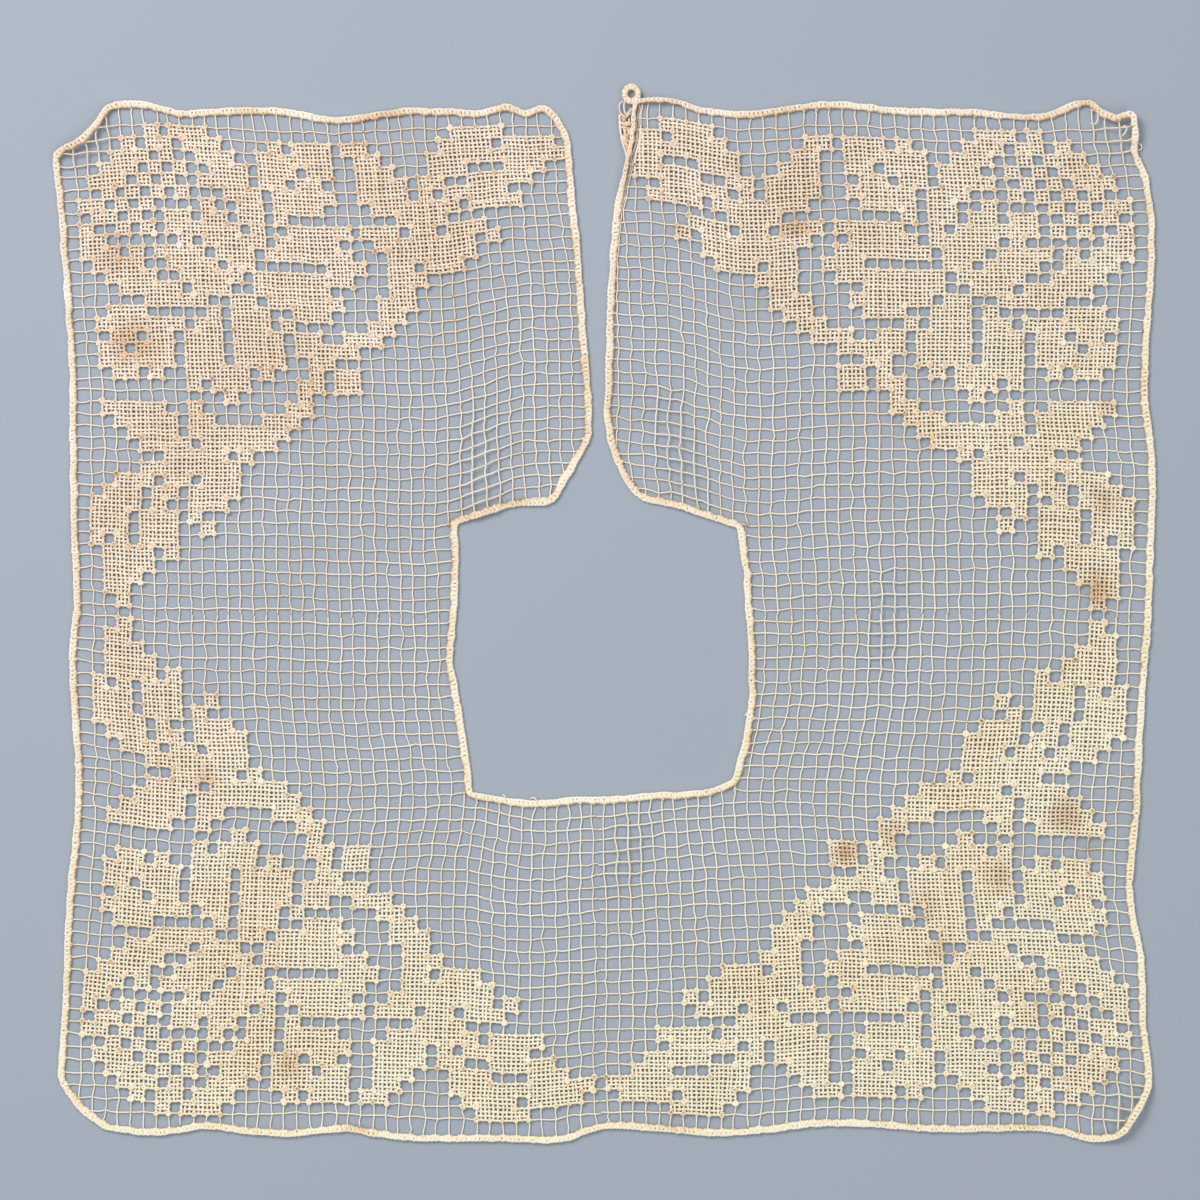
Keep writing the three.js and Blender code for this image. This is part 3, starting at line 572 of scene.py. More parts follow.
node_uses = {}
rim_ends = {name: [] for name in PANELS}
for lengthwise, number, low, high in net_lines():
    # a mesh has two stations between its nodes beside the darning, and one in the open net
    states = {round(low, 4): 0, round(high, 4): 0}
    parities = {}
    for other in range(NODES):
        at = other - HALF_NET
        ahead = line_state(lengthwise, number, other) if other + 1 < NODES else 0
        behind = line_state(lengthwise, number, other - 1) if other else 0
        if low < at < high:
            states[at] = 1 if 1 in (ahead, behind) else max(ahead, behind)
            parities[at] = number + other
            node = (number, other) if lengthwise else (other, number)
            node_uses[node] = node_uses.get(node, 0) + 1
        for part in ((1, 2) if ahead else (1.5,)):
            if low < at + part / 3 < high:
                states[at + part / 3] = ahead
                parities[at + part / 3] = number + other + part
    along = np.array(sorted(states))
    state = np.array([states[t] for t in along])
    parity = np.array([parities.get(t, 0.5) for t in along])
    across = np.full(len(along), number - HALF_NET)
    column, row = (bunched(across, along), along) if lengthwise else (along, across)
    points = net_point(column, row)
    sign = np.where(parity % 2 == 0, 1, -1) * (1 if lengthwise else -1)
    crossing = parity == np.round(parity)
    base = rng.uniform(0.5, 0.7)
    heights = np.where(crossing, OPEN_HEIGHT + np.where(sign > 0, 0.1, -0.06), OPEN_HEIGHT)
    heights = np.where(state == 1, DARNED_HEIGHT + 0.2 + 0.05 * sign, heights)
    heights = np.where(state == 2, woven(sign) - 0.06, heights)
    thickness = np.where(state == 0, NET_THREAD * rng.uniform(0.88, 1.12), np.where(state == 1, 0.4, 0.43))
    # Painted light and shade: where a net line weaves through the darning it is painted paler where it
    # passes over and darker where it passes under.
    tone = base + np.where(state == 2, 0.25 * sign - 0.05, np.where(state == 1, 0.15, 0.2))
    tone = tone + rng.normal(0, 0.05, len(along))
    wander = rng.normal(0, 1, len(along)) * np.where(crossing, 0, np.where(state == 0, 0.15, 0.07))
    name = panel_of(column[len(column) // 2], row[len(row) // 2])
    for end, inner in ((0, 1), (-1, -2)):
        if abs(along[end]) > 0.01:
            # caught by the edging a little to one side
            outward = (points[end] - points[inner]) / max(np.linalg.norm(points[end] - points[inner]), 0.3)
            points[end] += outward * 0.4
            wander[end] += rng.normal(0, 0.4)
            heights[end] += 0.25
            rim_ends[name].append(points[end] - outward * 0.5)
    points[:, 0 if lengthwise else 1] += wander
    squash = np.where(state == 0, 1.0, FLATNESS)[:, None]
    nets[name].tube(with_height(points, heights), thickness, tone=tone, squash=squash)

# Knots in the open net, wrapped knots where the darning ends
open_knots = {name: [] for name in PANELS}
for (i, j), uses in node_uses.items():
    if uses < 2:
        continue
    column, row = i - HALF_NET, j - HALF_NET
    moved = float(bunched(np.array([column]), np.array([row]))[0])
    if abs(moved - column) > 0.05:
        continue
    beside = DARNED[i : i + 2, j : j + 2]
    here = net_point(np.array([column]), np.array([row]))[0]
    name = panel_of(column, row)
    if not beside.any():
        open_knots[name].append((here[0], here[1], OPEN_HEIGHT + 0.06))
    elif not beside.all():
        size = (1.2 if beside.sum() in (1, 3) else 0.95) * rng.uniform(0.86, 1.14)
        height = lift_at(here[None])[0] + DARNED_HEIGHT + 0.36
        nets[name].wrapped_knot(here[0], here[1], height, size)

for name in PANELS:
    knots = np.array(open_knots[name])
    knots[:, 2] += lift_at(knots[:, :2])
    nets[name].knots(knots, (0.44, 0.38, 0.34), 0.6)


# The darning

def darning_loop(lengthwise, line, first, last):
    """Two darning threads over one run of meshes, joined round the net threads at both ends."""
    start, stop = first - 0.5, last + 0.5
    steps = 3 * (last - first + 1)
    along, across, heights = [], [], []
    base = 3 * (first + OUTERMOST)
    for side in (-1, 1):
        thread = 3 * (line + OUTERMOST) + (1 if side < 0 else 2)
        order = range(steps + 1) if side < 0 else range(steps, -1, -1)
        drift = rng.normal(0, 0.018)
        for n in order:
            along.append(start + n / 3)
            across.append(line + side * DARNING_PAIR + drift + rng.normal(0, 0.016))
            sign = 1 if (thread + base + n) % 2 == 0 else -1
            heights.append(DARNED_HEIGHT - 0.12 if n in (0, steps) else woven(sign if lengthwise else -sign))
        end, out = (stop, 1) if side < 0 else (start, -1)
        along.append(end + out * TURN_OUT)
        across.append(line)
        heights.append(DARNED_HEIGHT - 0.05)
    return np.array(along), np.array(across), np.array(heights)


for lengthwise in (True, False):
    for line in range(-OUTERMOST, OUTERMOST + 1):
        worked = DARNED[line + CENTRE] if lengthwise else DARNED[:, line + CENTRE]
        ends = np.flatnonzero(np.diff(worked)) - CENTRE
        for before, last in zip(ends[::2], ends[1::2]):
            along, across, heights = darning_loop(lengthwise, line, before + 1, last)
            column, row = (across, along) if lengthwise else (along, across)
            points = net_point(bunched(column, row), row)
            name = panel_of(column.mean(), row.mean())
            # Painted light and shade: a darning thread is painted paler where it rides high over a net
            # thread and darker where it dips under, and paler on its top by shading.
            tone = rng.uniform(0.5, 0.74) + 0.32 * (heights - DARNED_HEIGHT) / WEAVE
            tone = tone + rng.normal(0, 0.06, len(along))
            radius = DARNING_THREAD * rng.uniform(0.9, 1.1)
            path = with_height(points, heights)
            nets[name].tube(path, radius, closed=True, tone=tone, squash=FLATNESS, shading=0.34)

# Small bumps where the edging catches each net thread
for name in PANELS:
    ends = np.array(rim_ends[name])
    nets[name].knots(with_height(ends, 0.75), (0.7, 0.62, 0.5), 0.5)

# The corner folded over beside the slit: the thread along its fold, two gaps and crumpled net.
# Each thread has its radius and tone, then x, y, z in millimetres
FOLDED = (
    (0.45, 0.72, (
        (5.1, 168.6, 1.0), (5.2, 166.6, 1.2), (5.3, 164.4, 1.2), (5.6, 161.9, 1.3),
        (6.3, 158.6, 1.3), (7.2, 155.9, 1.4), (7.8, 153.6, 1.5),
    )),
    (0.3, 0.75, (
        (6.9, 173.2, 1.4), (6.6, 171.9, 1.5), (6.7, 170.2, 1.5),
        (7.3, 168.7, 1.5), (8.2, 169.4, 1.7), (9.2, 170.7, 1.9),
    )),
    (0.32, 0.6, (
        (6.4, 173.0, 1.3), (5.5, 172.7, 1.2), (5.0, 171.4, 1.1),
        (5.2, 169.8, 1.1), (5.9, 168.7, 1.2), (6.9, 168.1, 1.3),
    )),
    (0.5, 0.45, (
        (5.3, 168.3, 1.2), (6.2, 168.2, 1.4), (7.0, 167.4, 1.4), (7.7, 168.2, 1.6), (8.6, 169.0, 1.8),
    )),
    (0.4, 0.6, ((5.5, 165.9, 1.2), (6.4, 165.4, 1.4), (7.3, 165.9, 1.5), (8.3, 165.6, 1.7))),
)
# Thread ends that have come loose, in the same way
LOOSE = (
    (0.26, 0.7, ((50.4, -32.6, 0.9), (49.3, -33.3, 1.0), (48.2, -33.0, 0.8), (47.3, -34.0, 0.5))),
    (0.26, 0.7, ((51.0, -34.4, 0.9), (49.8, -35.2, 0.8), (48.9, -34.8, 0.6))),
    (0.24, 0.75, ((-22.6, -63.4, 1.3), (-23.0, -62.3, 1.4), (-23.8, -61.6, 1.1), (-24.9, -61.7, 0.7))),
    (0.24, 0.7, ((-33.3, -62.4, 1.3), (-33.5, -61.1, 1.4), (-34.3, -60.5, 0.9))),
    (0.24, 0.8, (
        (178.6, 158.3, 0.8), (179.9, 158.9, 0.7), (181.0, 158.2, 0.6),
        (180.9, 157.0, 0.5), (179.8, 156.6, 0.6), (178.7, 157.0, 0.8),
    )),
    (0.26, 0.75, (
        (163.6, 170.3, 1.0), (165.6, 169.6, 1.4), (166.2, 167.7, 1.6),
        (165.8, 166.0, 1.6), (164.9, 165.3, 1.5), (163.8, 165.8, 1.3),
    )),
    (0.26, 0.75, (
        (172.4, 164.1, 1.6), (174.2, 164.1, 2.2), (175.1, 164.8, 2.6),
        (175.8, 163.6, 2.6), (175.2, 162.3, 2.4), (174.3, 161.3, 2.0),
    )),
)


def curved(stations, pieces):
    """A smooth line through x, y, z stations."""
    p = np.array(stations, float)
    at = distance_along(p)
    fine = np.linspace(0, at[-1], pieces)
    return np.column_stack([smooth_through(list(zip(at, p[:, k])), fine) for k in range(3)])


for radius, tone, stations in FOLDED + LOOSE:
    name = panel_of(stations[0][0], stations[0][1])
    path = curved(stations, 4 * len(stations))
    radii = radius * rng.uniform(0.85, 1.15, len(path))
    nets[name].tube(path, radii, tone=tone + rng.normal(0, 0.08, len(path)))

# The crumpled net between the fold and the cord: y, fold side, cord side
STRIP = ((167.2, 5.5, 9.6), (162.0, 6.0, 9.0), (158.5, 6.8, 8.4), (155.6, 7.6, 8.2))
STRIP_THREADS = 42
for number in range(STRIP_THREADS):
    y = 155.9 + 11.0 * (number + rng.uniform(0, 1)) / STRIP_THREADS
    left, right = (float(smooth_through([(s[0], s[k]) for s in STRIP], np.array([y]))[0]) for k in (1, 2))
    x = left + (right - left) * rng.uniform(0.1, 1)
    turn = rng.choice([0.3, 1.2, 1.9, 2.7]) + rng.normal(0, 0.3)
    reach = rng.uniform(0.9, 1.6)
    bow = rng.normal(0, 0.35)
    stations = []
    for t in (-1, -0.5, 0, 0.5, 1):
        bulge = bow * (1 - t * t)
        stations.append((
            max(left - 0.1, x + math.cos(turn) * reach * t - math.sin(turn) * bulge),
            y + math.sin(turn) * reach * t + math.cos(turn) * bulge,
            1.15 + 0.1 * (x - 5.4) + 0.3 * (1 - t * t) + rng.uniform(0, 0.15),
        ))
    path, radii = curved(stations, 7), (0.34, 0.4, 0.42, 0.42, 0.42, 0.4, 0.3)
    # The crumpled net's tones run down to nearly brown: partly its own tan and partly painted shade among
    # the crumples.
    nets["front_right"].tube(path, radii, tone=rng.uniform(0.12, 0.75))


# Materials

def srgb(r, g, b):
    """A colour read as 0 to 255, as linear light."""
    parts = [c / 255 for c in (r, g, b)]
    return tuple(c / 12.92 if c <= 0.04045 else ((c + 0.055) / 1.055) ** 2.4 for c in parts) + (1.0,)


def group_tree(name, inputs, outputs):
    """An empty node group with number sockets; inputs come with their defaults."""
    tree = bpy.data.node_groups.new(name, "ShaderNodeTree")
    for label, default in inputs.items():
        socket = tree.interface.new_socket(label, in_out="INPUT", socket_type="NodeSocketFloat")
        socket.default_value = default
    for label in outputs:
        tree.interface.new_socket(label, in_out="OUTPUT", socket_type="NodeSocketFloat")
    return tree, tree.nodes.new("NodeGroupInput"), tree.nodes.new("NodeGroupOutput")


def feed(tree, socket, value):
    """Links another node's output to a socket, or gives it a plain value."""
    if hasattr(value, "default_value"):
        tree.links.new(value, socket)
    else:
        socket.default_value = value


def math_node(tree, operation, *values):
    node = tree.nodes.new("ShaderNodeMath")
    node.operation = operation
    for k, value in enumerate(values):
        feed(tree, node.inputs[k], value)
    return node.outputs[0]


def mix_colours(tree, factor, one, two):
    node = tree.nodes.new("ShaderNodeMix")
    node.data_type = "RGBA"
    for k, value in ((0, factor), (6, one), (7, two)):
        feed(tree, node.inputs[k], value)
    return node.outputs[2]


def object_place(tree):
    return tree.nodes.new("ShaderNodeTexCoord").outputs["Object"]


def separated(tree, vector):
    node = tree.nodes.new("ShaderNodeSeparateXYZ")
    tree.links.new(vector, node.inputs[0])
    return node.outputs["X"], node.outputs["Y"]


def set_inputs(node, **values):
    """Gives inputs plain values; an input's name has _ for each space."""
    for label, value in values.items():
        node.inputs[label.replace("_", " ")].default_value = value


def noise(tree, vector, scale, detail=2.0, roughness=0.5):
    node = tree.nodes.new("ShaderNodeTexNoise")
    set_inputs(node, Scale=scale, Detail=detail, Roughness=roughness)
    tree.links.new(vector, node.inputs["Vector"])
    return node.outputs[0]


def steps(tree, value, low, high):
    """A soft step from 0 at low to 1 at high."""
    node = tree.nodes.new("ShaderNodeMapRange")
    node.interpolation_type = "SMOOTHSTEP"
    set_inputs(node, From_Min=low, From_Max=high)
    tree.links.new(value, node.inputs["Value"])
    return node.outputs[0]


# Tan marks left by age: place in millimetres, reach, strength
AGE_MARKS = (
    (165.3, 8.6, 9, 0.65), (168.7, 38.9, 8, 0.4), (170.3, 70.9, 6, 0.35), (155.2, -67.2, 9, 0.5),
    (163.6, -78.4, 6, 0.5), (132.6, -89.1, 8, 0.4), (81.4, -80.0, 7, 0.7), (97.9, -74.0, 7, 0.55),
    (108.0, -97.6, 8, 0.3), (113.0, -112.7, 8, 0.3), (64.2, 131.6, 7, 0.55), (25.4, 129.9, 4, 0.4),
    (-158.6, 91.2, 12, 0.5), (-164.7, 121.8, 11, 0.35), (-134.6, -55.4, 6, 0.4), (-106.0, -151.5, 7, 0.5),
)


def age_marks_group():
    """Where the cotton has darkened: tan marks, broad uneven patches, and warmth towards the back."""
    tree, _, out = group_tree("age_marks", {}, ("Marks", "Patches", "Warmth"))
    place = object_place(tree)
    wobble = noise(tree, place, 90.0, 3.0)
    total = None
    for x, y, reach, strength in AGE_MARKS:
        away = tree.nodes.new("ShaderNodeVectorMath")
        away.operation = "DISTANCE"
        tree.links.new(place, away.inputs[0])
        away.inputs[1].default_value = (x * MM, y * MM, 0)
        far = math_node(tree, "MULTIPLY_ADD", wobble, reach * 0.9 * MM, away.outputs["Value"])
        mark = math_node(tree, "MULTIPLY", steps(tree, far, reach * 1.5 * MM, reach * 0.5 * MM), strength)
        total = mark if total is None else math_node(tree, "MAXIMUM", total, mark)
    tree.links.new(total, out.inputs["Marks"])
    tree.links.new(steps(tree, noise(tree, place, 22.0, 4.0, 0.6), 0.35, 0.72), out.inputs["Patches"])
    x, y = separated(tree, place)
    tilt = math_node(tree, "MULTIPLY_ADD", x, 1.2, math_node(tree, "MULTIPLY", y, -2.2))
    tilt = math_node(tree, "MULTIPLY_ADD", wobble, 0.15, tilt)
    tree.links.new(steps(tree, tilt, -0.35, 0.45), out.inputs["Warmth"])
    return tree


def spun_thread_group():
    """The twist of a spun thread: a ridge that winds round it, fluff, and the painted shade in the groove
    between its turns.
    """
    tree, start, out = group_tree("spun_thread", {"Pitch": 0.7, "Fluff": 0.5}, ("Height", "groove_shade"))
    uv = tree.nodes.new("ShaderNodeUVMap")
    uv.uv_map = "along_thread"
    along, around = separated(tree, uv.outputs[0])
    winding = math_node(tree, "ADD", math_node(tree, "DIVIDE", along, start.outputs["Pitch"]), around)
    wave = math_node(tree, "SINE", math_node(tree, "MULTIPLY", winding, math.pi))
    ridge = math_node(tree, "ABSOLUTE", wave)
    fibres = noise(tree, object_place(tree), 5200.0, 3.0, 0.65)
    height = math_node(tree, "MULTIPLY_ADD", fibres, start.outputs["Fluff"], ridge)
    tree.links.new(height, out.inputs["Height"])
    # Painted shade: this output is one in the groove between the twist's turns, where the colour is
    # darkened.
    tree.links.new(steps(tree, ridge, 0.45, 0.0), out.inputs["groove_shade"])
    return tree


AGE_GROUP = age_marks_group()
SPUN_GROUP = spun_thread_group()


def tone_colours(tree, value, colours):
    """Colours from the darkest groove to the palest crest, painting shade into the lows and light onto the
    crests.
    """
    node = tree.nodes.new("ShaderNodeValToRGB")
    ramp = node.color_ramp
    for k, (place, colour) in enumerate(colours):
        stop = ramp.elements[k] if k < 2 else ramp.elements.new(place)
        stop.position = place
        stop.color = srgb(*colour)
    tree.links.new(value, node.inputs[0])
    return node.outputs[0]


def cotton(name, pinkish, yellowish, stain, pitch, bump, lift):
    """Old ivory cotton: painted pale on its crests and tan in its lows as painted light and shade, yellower
    at the back, marked by age.
    """
    material = bpy.data.materials.new(name)
    material.use_nodes = True
    tree = material.node_tree
    shader = tree.nodes["Principled BSDF"]
    set_inputs(shader, Roughness=0.92, Specular_IOR_Level=0.2, Sheen_Weight=0.12, Sheen_Roughness=0.5)
    age, spun = tree.nodes.new("ShaderNodeGroup"), tree.nodes.new("ShaderNodeGroup")
    age.node_tree, spun.node_tree = AGE_GROUP, SPUN_GROUP
    set_inputs(spun, Pitch=pitch)
    tone = tree.nodes.new("ShaderNodeAttribute")
    tone.attribute_name = "tone"
    value = math_node(tree, "MULTIPLY_ADD", age.outputs["Patches"], -0.22, tone.outputs["Fac"])
    value = math_node(tree, "ADD", value, lift)
    # Painted shade: the colour is darkened in the grooves of the twist.
    value = math_node(tree, "MULTIPLY_ADD", spun.outputs["groove_shade"], -0.12, value)
    front, back = tone_colours(tree, value, pinkish), tone_colours(tree, value, yellowish)
    colour = mix_colours(tree, age.outputs["Warmth"], front, back)
    colour = mix_colours(tree, age.outputs["Marks"], colour, stain)
    tree.links.new(colour, shader.inputs["Base Color"])
    relief = tree.nodes.new("ShaderNodeBump")
    set_inputs(relief, Strength=bump, Distance=0.0001)
    tree.links.new(spun.outputs["Height"], relief.inputs["Height"])
    tree.links.new(relief.outputs[0], shader.inputs["Normal"])
    return material


# Place from the darkest low, where shade is painted, to the palest crest, where light is painted, then its
# colour: the two ends, then the stops between
PINKISH = ((0.0, (122, 88, 66)), (1.0, (255, 246, 234)), (0.26, (208, 172, 138)), (0.62, (240, 219, 194)))
YELLOWISH = ((0.0, (128, 100, 70)), (1.0, (255, 252, 236)), (0.26, (226, 196, 155)), (0.62, (255, 243, 212)))
TAN = srgb(210, 157, 99)
NET_COTTON = cotton("net_cotton", PINKISH, YELLOWISH, TAN, 0.7, 0.5, 0.05)
EDGING_COTTON = cotton("edging_cotton", PINKISH, YELLOWISH, TAN, 0.6, 0.6, 0.12)

panels = {}
for name in PANELS:
    panel = nets[name].piece(name + "_net", NET_COTTON)
    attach(panel, "root")
    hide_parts("net_ground")
    panels[name] = panel


# The stitched edging

STITCH = 1.5
STEPS = 6  # rings to a stitch
# Cross-section of the edging in millimetres, outwards and up from its middle
SECTION = np.array([
    (-1.0, 0.1), (0.1, 0.02), (1.0, 0.12), (1.27, 0.6), (1.14, 1.15),
    (0.78, 1.45), (0.3, 1.2), (-0.2, 1.5), (-0.82, 1.42), (-1.22, 0.75),
])
# How much each of its points belongs to the chain outside, the groove, the beads inside and the underside,
# which is painted darker as painted shade
CHAIN = np.array([0, 0, 0.4, 1.0, 1.0, 0.8, 0, 0, 0, 0])
GROOVE = np.array([0, 0, 0, 0, 0.05, 0.3, 1.0, 0.34, 0, 0])
BEADS = np.array([0, 0, 0, 0, 0, 0, 0.15, 0.9, 1.0, 0.5])
PAINTED_UNDERSIDE_SHADE = np.array([0.45, 0.45, 0.3, 0.1, 0, 0, 0, 0, 0.05, 0.25])


def climb_at(column, row):
    """The edging climbs onto the folded corner and comes down again along the front."""

    def eased(x, low, high):
        t = np.clip((x - low) / (high - low), 0, 1)
        return t * t * (3 - 2 * t)

    there = (column >= 0) & (column <= 9)
    return np.where(there, CLIMB * eased(row, 32.5, 36.2) * (1 - eased(column, 4.6, 9.0)), 0)


def edging_path():
    """The edging's middle, once round: its places, climbs, where each run starts, how many stitches."""
    centres = EDGE_POINTS + EDGE_OUTWARD * CORD_OUT
    climbs = climb_at(EDGE_PLACES[:, 0], EDGE_PLACES[:, 1])
    fine, rise = [], []
    n, parts = len(centres), 16
    for k in range(n):
        p0, p1, p2, p3 = centres[k - 1], centres[k], centres[(k + 1) % n], centres[(k + 2) % n]
        gap = np.linalg.norm(p2 - p1)
        m1 = (p2 - p0) / (gap + np.linalg.norm(p1 - p0)) * gap
        m2 = (p3 - p1) / (np.linalg.norm(p3 - p2) + gap) * gap
        for t in np.arange(0, 1, 1 / parts):
            start, leaving, end, arriving = curve_weights(t)
            fine.append(start * p1 + leaving * m1 + end * p2 + arriving * m2)
            rise.append(climbs[k] * (1 - t) + climbs[(k + 1) % n] * t)
    closed = np.array(fine + fine[:1])
    along = distance_along(closed)
    stitches = round(along[-1] / STITCH)
    count = stitches * STEPS
    at = np.arange(count) * along[-1] / count
    x = np.interp(at, along, closed[:, 0])
    y = np.interp(at, along, closed[:, 1])
    z = np.interp(at, along, np.append(rise, rise[0]))
    starts = {}
    for k, run in enumerate(EDGE_RUNS):
        if EDGE_RUNS[k - 1] != run:
            starts[run] = int(round(along[parts * k] / along[-1] * count)) % count
    return np.column_stack([x, y]), z, starts, stitches


EDGING, EDGING_RISE, EDGING_STARTS, STITCHES = edging_path()


def slow_noise(reach):
    """Uneven values once round, smooth over `reach` stitches."""
    thrice = np.tile(rng.normal(0, 1, STITCHES), 3)
    values = np.convolve(thrice, np.hanning(reach + 2), "same")[STITCHES : 2 * STITCHES]
    at = np.arange(STITCHES * STEPS) / STEPS
    return np.interp(at, np.arange(STITCHES + 1), np.append(values, values[0])) / values.std()


def edging_rings():
    """The rings of the stitched edging and their tones: stitches bulge in the chain and the beads."""
    ahead = unit(np.roll(EDGING, -1, axis=0) - np.roll(EDGING, 1, axis=0))
    outward = np.stack([ahead[:, 1], -ahead[:, 0]], axis=1)
    phase = np.arange(len(EDGING)) / STEPS
    own = np.repeat(rng.normal(0, 1, STITCHES), STEPS)[:, None]
    late = np.roll(np.repeat(rng.normal(0, 1, STITCHES), STEPS), STEPS // 2)[:, None]
    slim = 1 - 0.34 * EDGING_RISE / CLIMB
    width = (slim * (1 + 0.05 * slow_noise(5)))[:, None]
    ends = np.concatenate([np.array(rim_ends[name]) for name in PANELS])
    near = np.sqrt(((EDGING[:, None] - ends[None]) ** 2).sum(axis=2).min(axis=1))
    caught = np.exp(-((near / 1.0) ** 2))[:, None]
    phase = phase + 0.12 * slow_noise(4)
    slant = phase[:, None] - 0.07 * SECTION[:, 0]
    link = np.abs(np.sin(np.pi * (phase + 0.1 * slow_noise(2))))[:, None] ** 0.6
    # This both deepens the groove between stitches and paints shade into it.
    stitch_gap_and_shade = np.clip(np.cos(2 * np.pi * (slant - 0.44 + 0.05 * own)), 0, 1)
    stitch_gap_and_shade = stitch_gap_and_shade * np.clip(0.8 + 0.5 * own, 0.0, 1.4)
    bead = 0.5 + 0.5 * np.cos(2 * np.pi * (slant - 0.66 + 0.06 * late))
    u = SECTION[:, 0] * width - (1 - link) * CHAIN * 0.16 + 0.05 * own * CHAIN
    z = SECTION[:, 1] - (1 - link) * CHAIN * 0.1 - stitch_gap_and_shade * GROOVE * 0.5
    z = z - (1 - bead) * BEADS * 0.34 + 0.12 * late * BEADS + 0.08 * own * CHAIN
    inner = np.clip(-SECTION[:, 0] - 0.5, 0, 0.8) / 0.8
    u = u - inner * (caught * 0.5 - 0.12 + 0.1 * late)
    middle = EDGING + outward * (0.1 * slow_noise(6) + 0.07 * slow_noise(3))[:, None]
    middle = middle - outward * (0.3 * EDGING_RISE / CLIMB)[:, None]
    points = middle[:, None, :] + outward[:, None, :] * u[..., None]
    base = lift_at(EDGING) + EDGING_RISE
    rings = np.concatenate([points, (z + base[:, None])[..., None]], axis=-1)
    # Painted shade: the edging is painted darker between the chain's links, in the groove between stitches,
    # between the beads and on its underside; it is also a little paler on the chain and darker on its inner
    # side, less so where a net thread is caught.
    tone = 0.84 + 0.1 * CHAIN - (1 - link) * CHAIN * 0.25
    tone = tone - stitch_gap_and_shade * GROOVE * 0.72 - (1 - bead) * BEADS * 0.26
    tone = tone - PAINTED_UNDERSIDE_SHADE - inner * 0.22 * (1 - 0.4 * caught)
    tone = tone + 0.07 * own + 0.07 * slow_noise(9)[:, None] + rng.normal(0, 0.07, z.shape)
    return rings, np.clip(tone, 0, 1)


EDGING_RINGS, EDGING_TONES = edging_rings()
order = sorted(EDGING_STARTS.items(), key=lambda item: item[1])
edging = {}
for (run, start), (_, stop) in zip(order, order[1:] + order[:1]):
    last = stop if stop > start else stop + len(EDGING)
    picked = np.arange(start, last + 1) % len(EDGING)
    threads = Threads()
    threads.skin(EDGING_RINGS[picked], False, np.arange(len(picked)) * STITCH / STEPS, EDGING_TONES[picked])
    piece = threads.piece("stitched_" + run, EDGING_COTTON)
    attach(piece, "root")
    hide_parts("edge_" + run)
    edging[run] = piece


# The button loop: a small stitched ring, high at its foot and lying down at its far side

def deselect_all():
    for obj in bpy.context.selected_objects:
        obj.select_set(False)


LOOP_SEGMENTS = 36
LOOP_SIDES = 10
LOOP_GAUGE = 1.85  # its oval is the ring resized by each half width over this

deselect_all()
bpy.ops.mesh.primitive_torus_add(
    align="WORLD",
    location=(LOOP["x"] * MM, LOOP["y"] * MM, (LOOP["height"] / 2 + LOOP["foot_rise"] / 2 + 0.1) * MM),
    major_segments=LOOP_SEGMENTS,
    minor_segments=LOOP_SIDES,
    major_radius=(LOOP["across"] + LOOP["along"]) / 2 * MM,
    minor_radius=LOOP["thread"] / 2 * MM,
)
loop = bpy.context.active_object
loop.name = loop.data.name = "stitched_button_loop"
bpy.ops.object.mode_set(mode="EDIT")
bpy.ops.mesh.select_all(action="DESELECT")
bpy.ops.object.mode_set(mode="OBJECT")
for k, vertex in enumerate(loop.data.vertices):
    vertex.select = (k // LOOP_SIDES) % 3 == 0  # every third ring is drawn in, as between stitches
bpy.ops.object.mode_set(mode="EDIT")
bpy.ops.transform.shrink_fatten(value=-0.00032)
bpy.ops.mesh.select_all(action="SELECT")
bpy.ops.transform.resize(
    value=(LOOP["across"] / LOOP_GAUGE, LOOP["along"] / LOOP_GAUGE, 0.78), center_override=loop.location
)
slope = math.atan2(LOOP["foot_rise"], 2 * (LOOP["along"] + 1.1))
bpy.ops.transform.rotate(value=slope, orient_axis="X", center_override=loop.location)
bpy.ops.object.mode_set(mode="OBJECT")
rounding = loop.modifiers.new("round_stitches", "SUBSURF")
rounding.levels = rounding.render_levels = 1
bpy.ops.object.modifier_apply(modifier=rounding.name)
bpy.ops.object.transform_apply(location=True, rotation=True, scale=True)
bpy.ops.object.shade_smooth()
loop.data.uv_layers[0].name = "along_thread"
tone = loop.data.attributes.new("tone", "FLOAT", "POINT")
places = np.array([tuple(v.co) for v in loop.data.vertices]) / MM - (LOOP["x"], LOOP["y"], 0)
turns, reaches = np.arctan2(places[:, 1], places[:, 0]), np.hypot(places[:, 0], places[:, 1])
# Painted light and shade: each of the twelve stitches is painted pale on its crest and darker between, and
# the ring is darker towards its inner side.
stitch_tones = 0.68 + 0.22 * np.cos(12 * turns + 1.6 * reaches)  # pale crests, twelve stitches round
stitch_tones = stitch_tones - 0.3 * np.clip(1.9 - reaches, 0, 1) + 0.08 * np.sin(5 * turns)
tone.data.foreach_set("value", stitch_tones.astype(np.float32))
loop.data.materials.clear()
loop.data.materials.append(EDGING_COTTON)
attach(loop, "root")
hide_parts("button_loop")
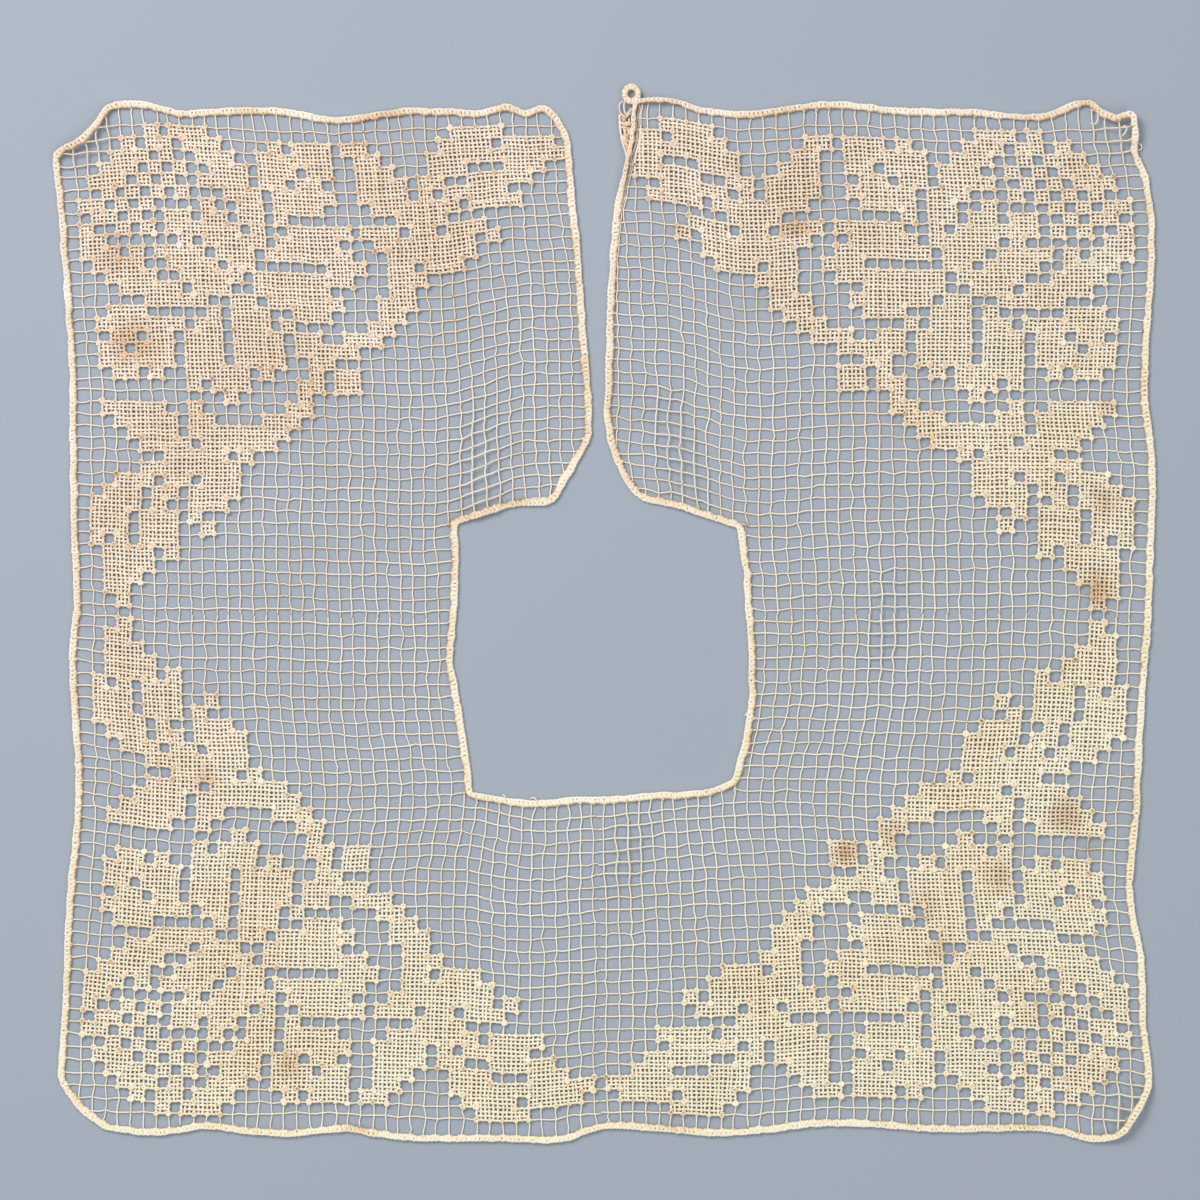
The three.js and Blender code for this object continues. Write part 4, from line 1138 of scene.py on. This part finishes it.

# The panels' flat sizes and the edging beside each are worked out here but put to no further use
# Flat sizes from the count of meshes: half the net each way a panel, with its part of the neck left out
WIDE, LONG = HALF_NET * MESH_ACROSS * MM, HALF_NET * MESH_DOWN * MM
HALF_NECK = NECK_SIDE * MESH_ACROSS * MM
FRONT_CUT = (WIDE, LONG, WIDE * LONG - HALF_NECK * NECK_FRONT * MESH_DOWN * MM)
BACK_CUT = (WIDE, LONG, WIDE * LONG - HALF_NECK * NECK_BACK * MESH_DOWN * MM)
CUT = {"front_left": FRONT_CUT, "front_right": FRONT_CUT, "back_left": BACK_CUT, "back_right": BACK_CUT}
CARRIES = {
    "front_left": ("outer_front_left", "outer_left", "neck_front_left", "slit_left"),
    "front_right": ("outer_right", "outer_front_right", "slit_right", "neck_front_right"),
    "back_left": ("outer_back", "neck_left"),
    "back_right": ("neck_back", "neck_right"),
}
for name, panel in panels.items():
    width, length, area = CUT[name]
    carried = [edging[run] for run in CARRIES[name]] + ([loop] if name == "front_right" else [])


# Table, lights and camera

deselect_all()
bpy.ops.mesh.primitive_plane_add(size=4.0, location=(0, 0, -0.0001))
table = bpy.context.active_object
table.name = "plain_table"
table_paint = bpy.data.materials.new("plain_pale_table")
table_paint.use_nodes = True
paint = table_paint.node_tree.nodes["Principled BSDF"]
set_inputs(paint, Base_Color=srgb(162, 172, 185), Roughness=0.8)
table.data.materials.append(table_paint)

sky = bpy.data.worlds.new("soft_room")
bpy.context.scene.world = sky
sky.use_nodes = True
set_inputs(sky.node_tree.nodes["Background"], Color=(1.0, 1.0, 1.0, 1.0), Strength=0.48)


def soft_light(name, place, size, power, colour):
    """A square lamp that faces the middle of the collar."""
    lamp = bpy.data.lights.new(name, "AREA")
    lamp.shape = "SQUARE"
    lamp.size = size
    lamp.energy = power
    lamp.color = colour
    obj = into_scene(name, lamp)
    obj.location = place
    obj.rotation_euler = (-Vector(place)).to_track_quat("-Z", "Y").to_euler()


soft_light("window_light", (-0.75, 0.8, 1.25), 0.8, 18.0, (1.0, 0.985, 0.96))
soft_light("fill_light", (0.9, -0.7, 1.4), 1.2, 5.0, (0.96, 0.98, 1.0))

lens = bpy.data.cameras.new("camera_straight_down")
lens.sensor_width = 36.0
lens.lens = 160.2
camera = into_scene("camera_straight_down", lens)
camera.location = (-0.00149, 0.00506, 1.8)
bpy.context.scene.camera = camera
bpy.context.scene.view_settings.view_transform = "Standard"
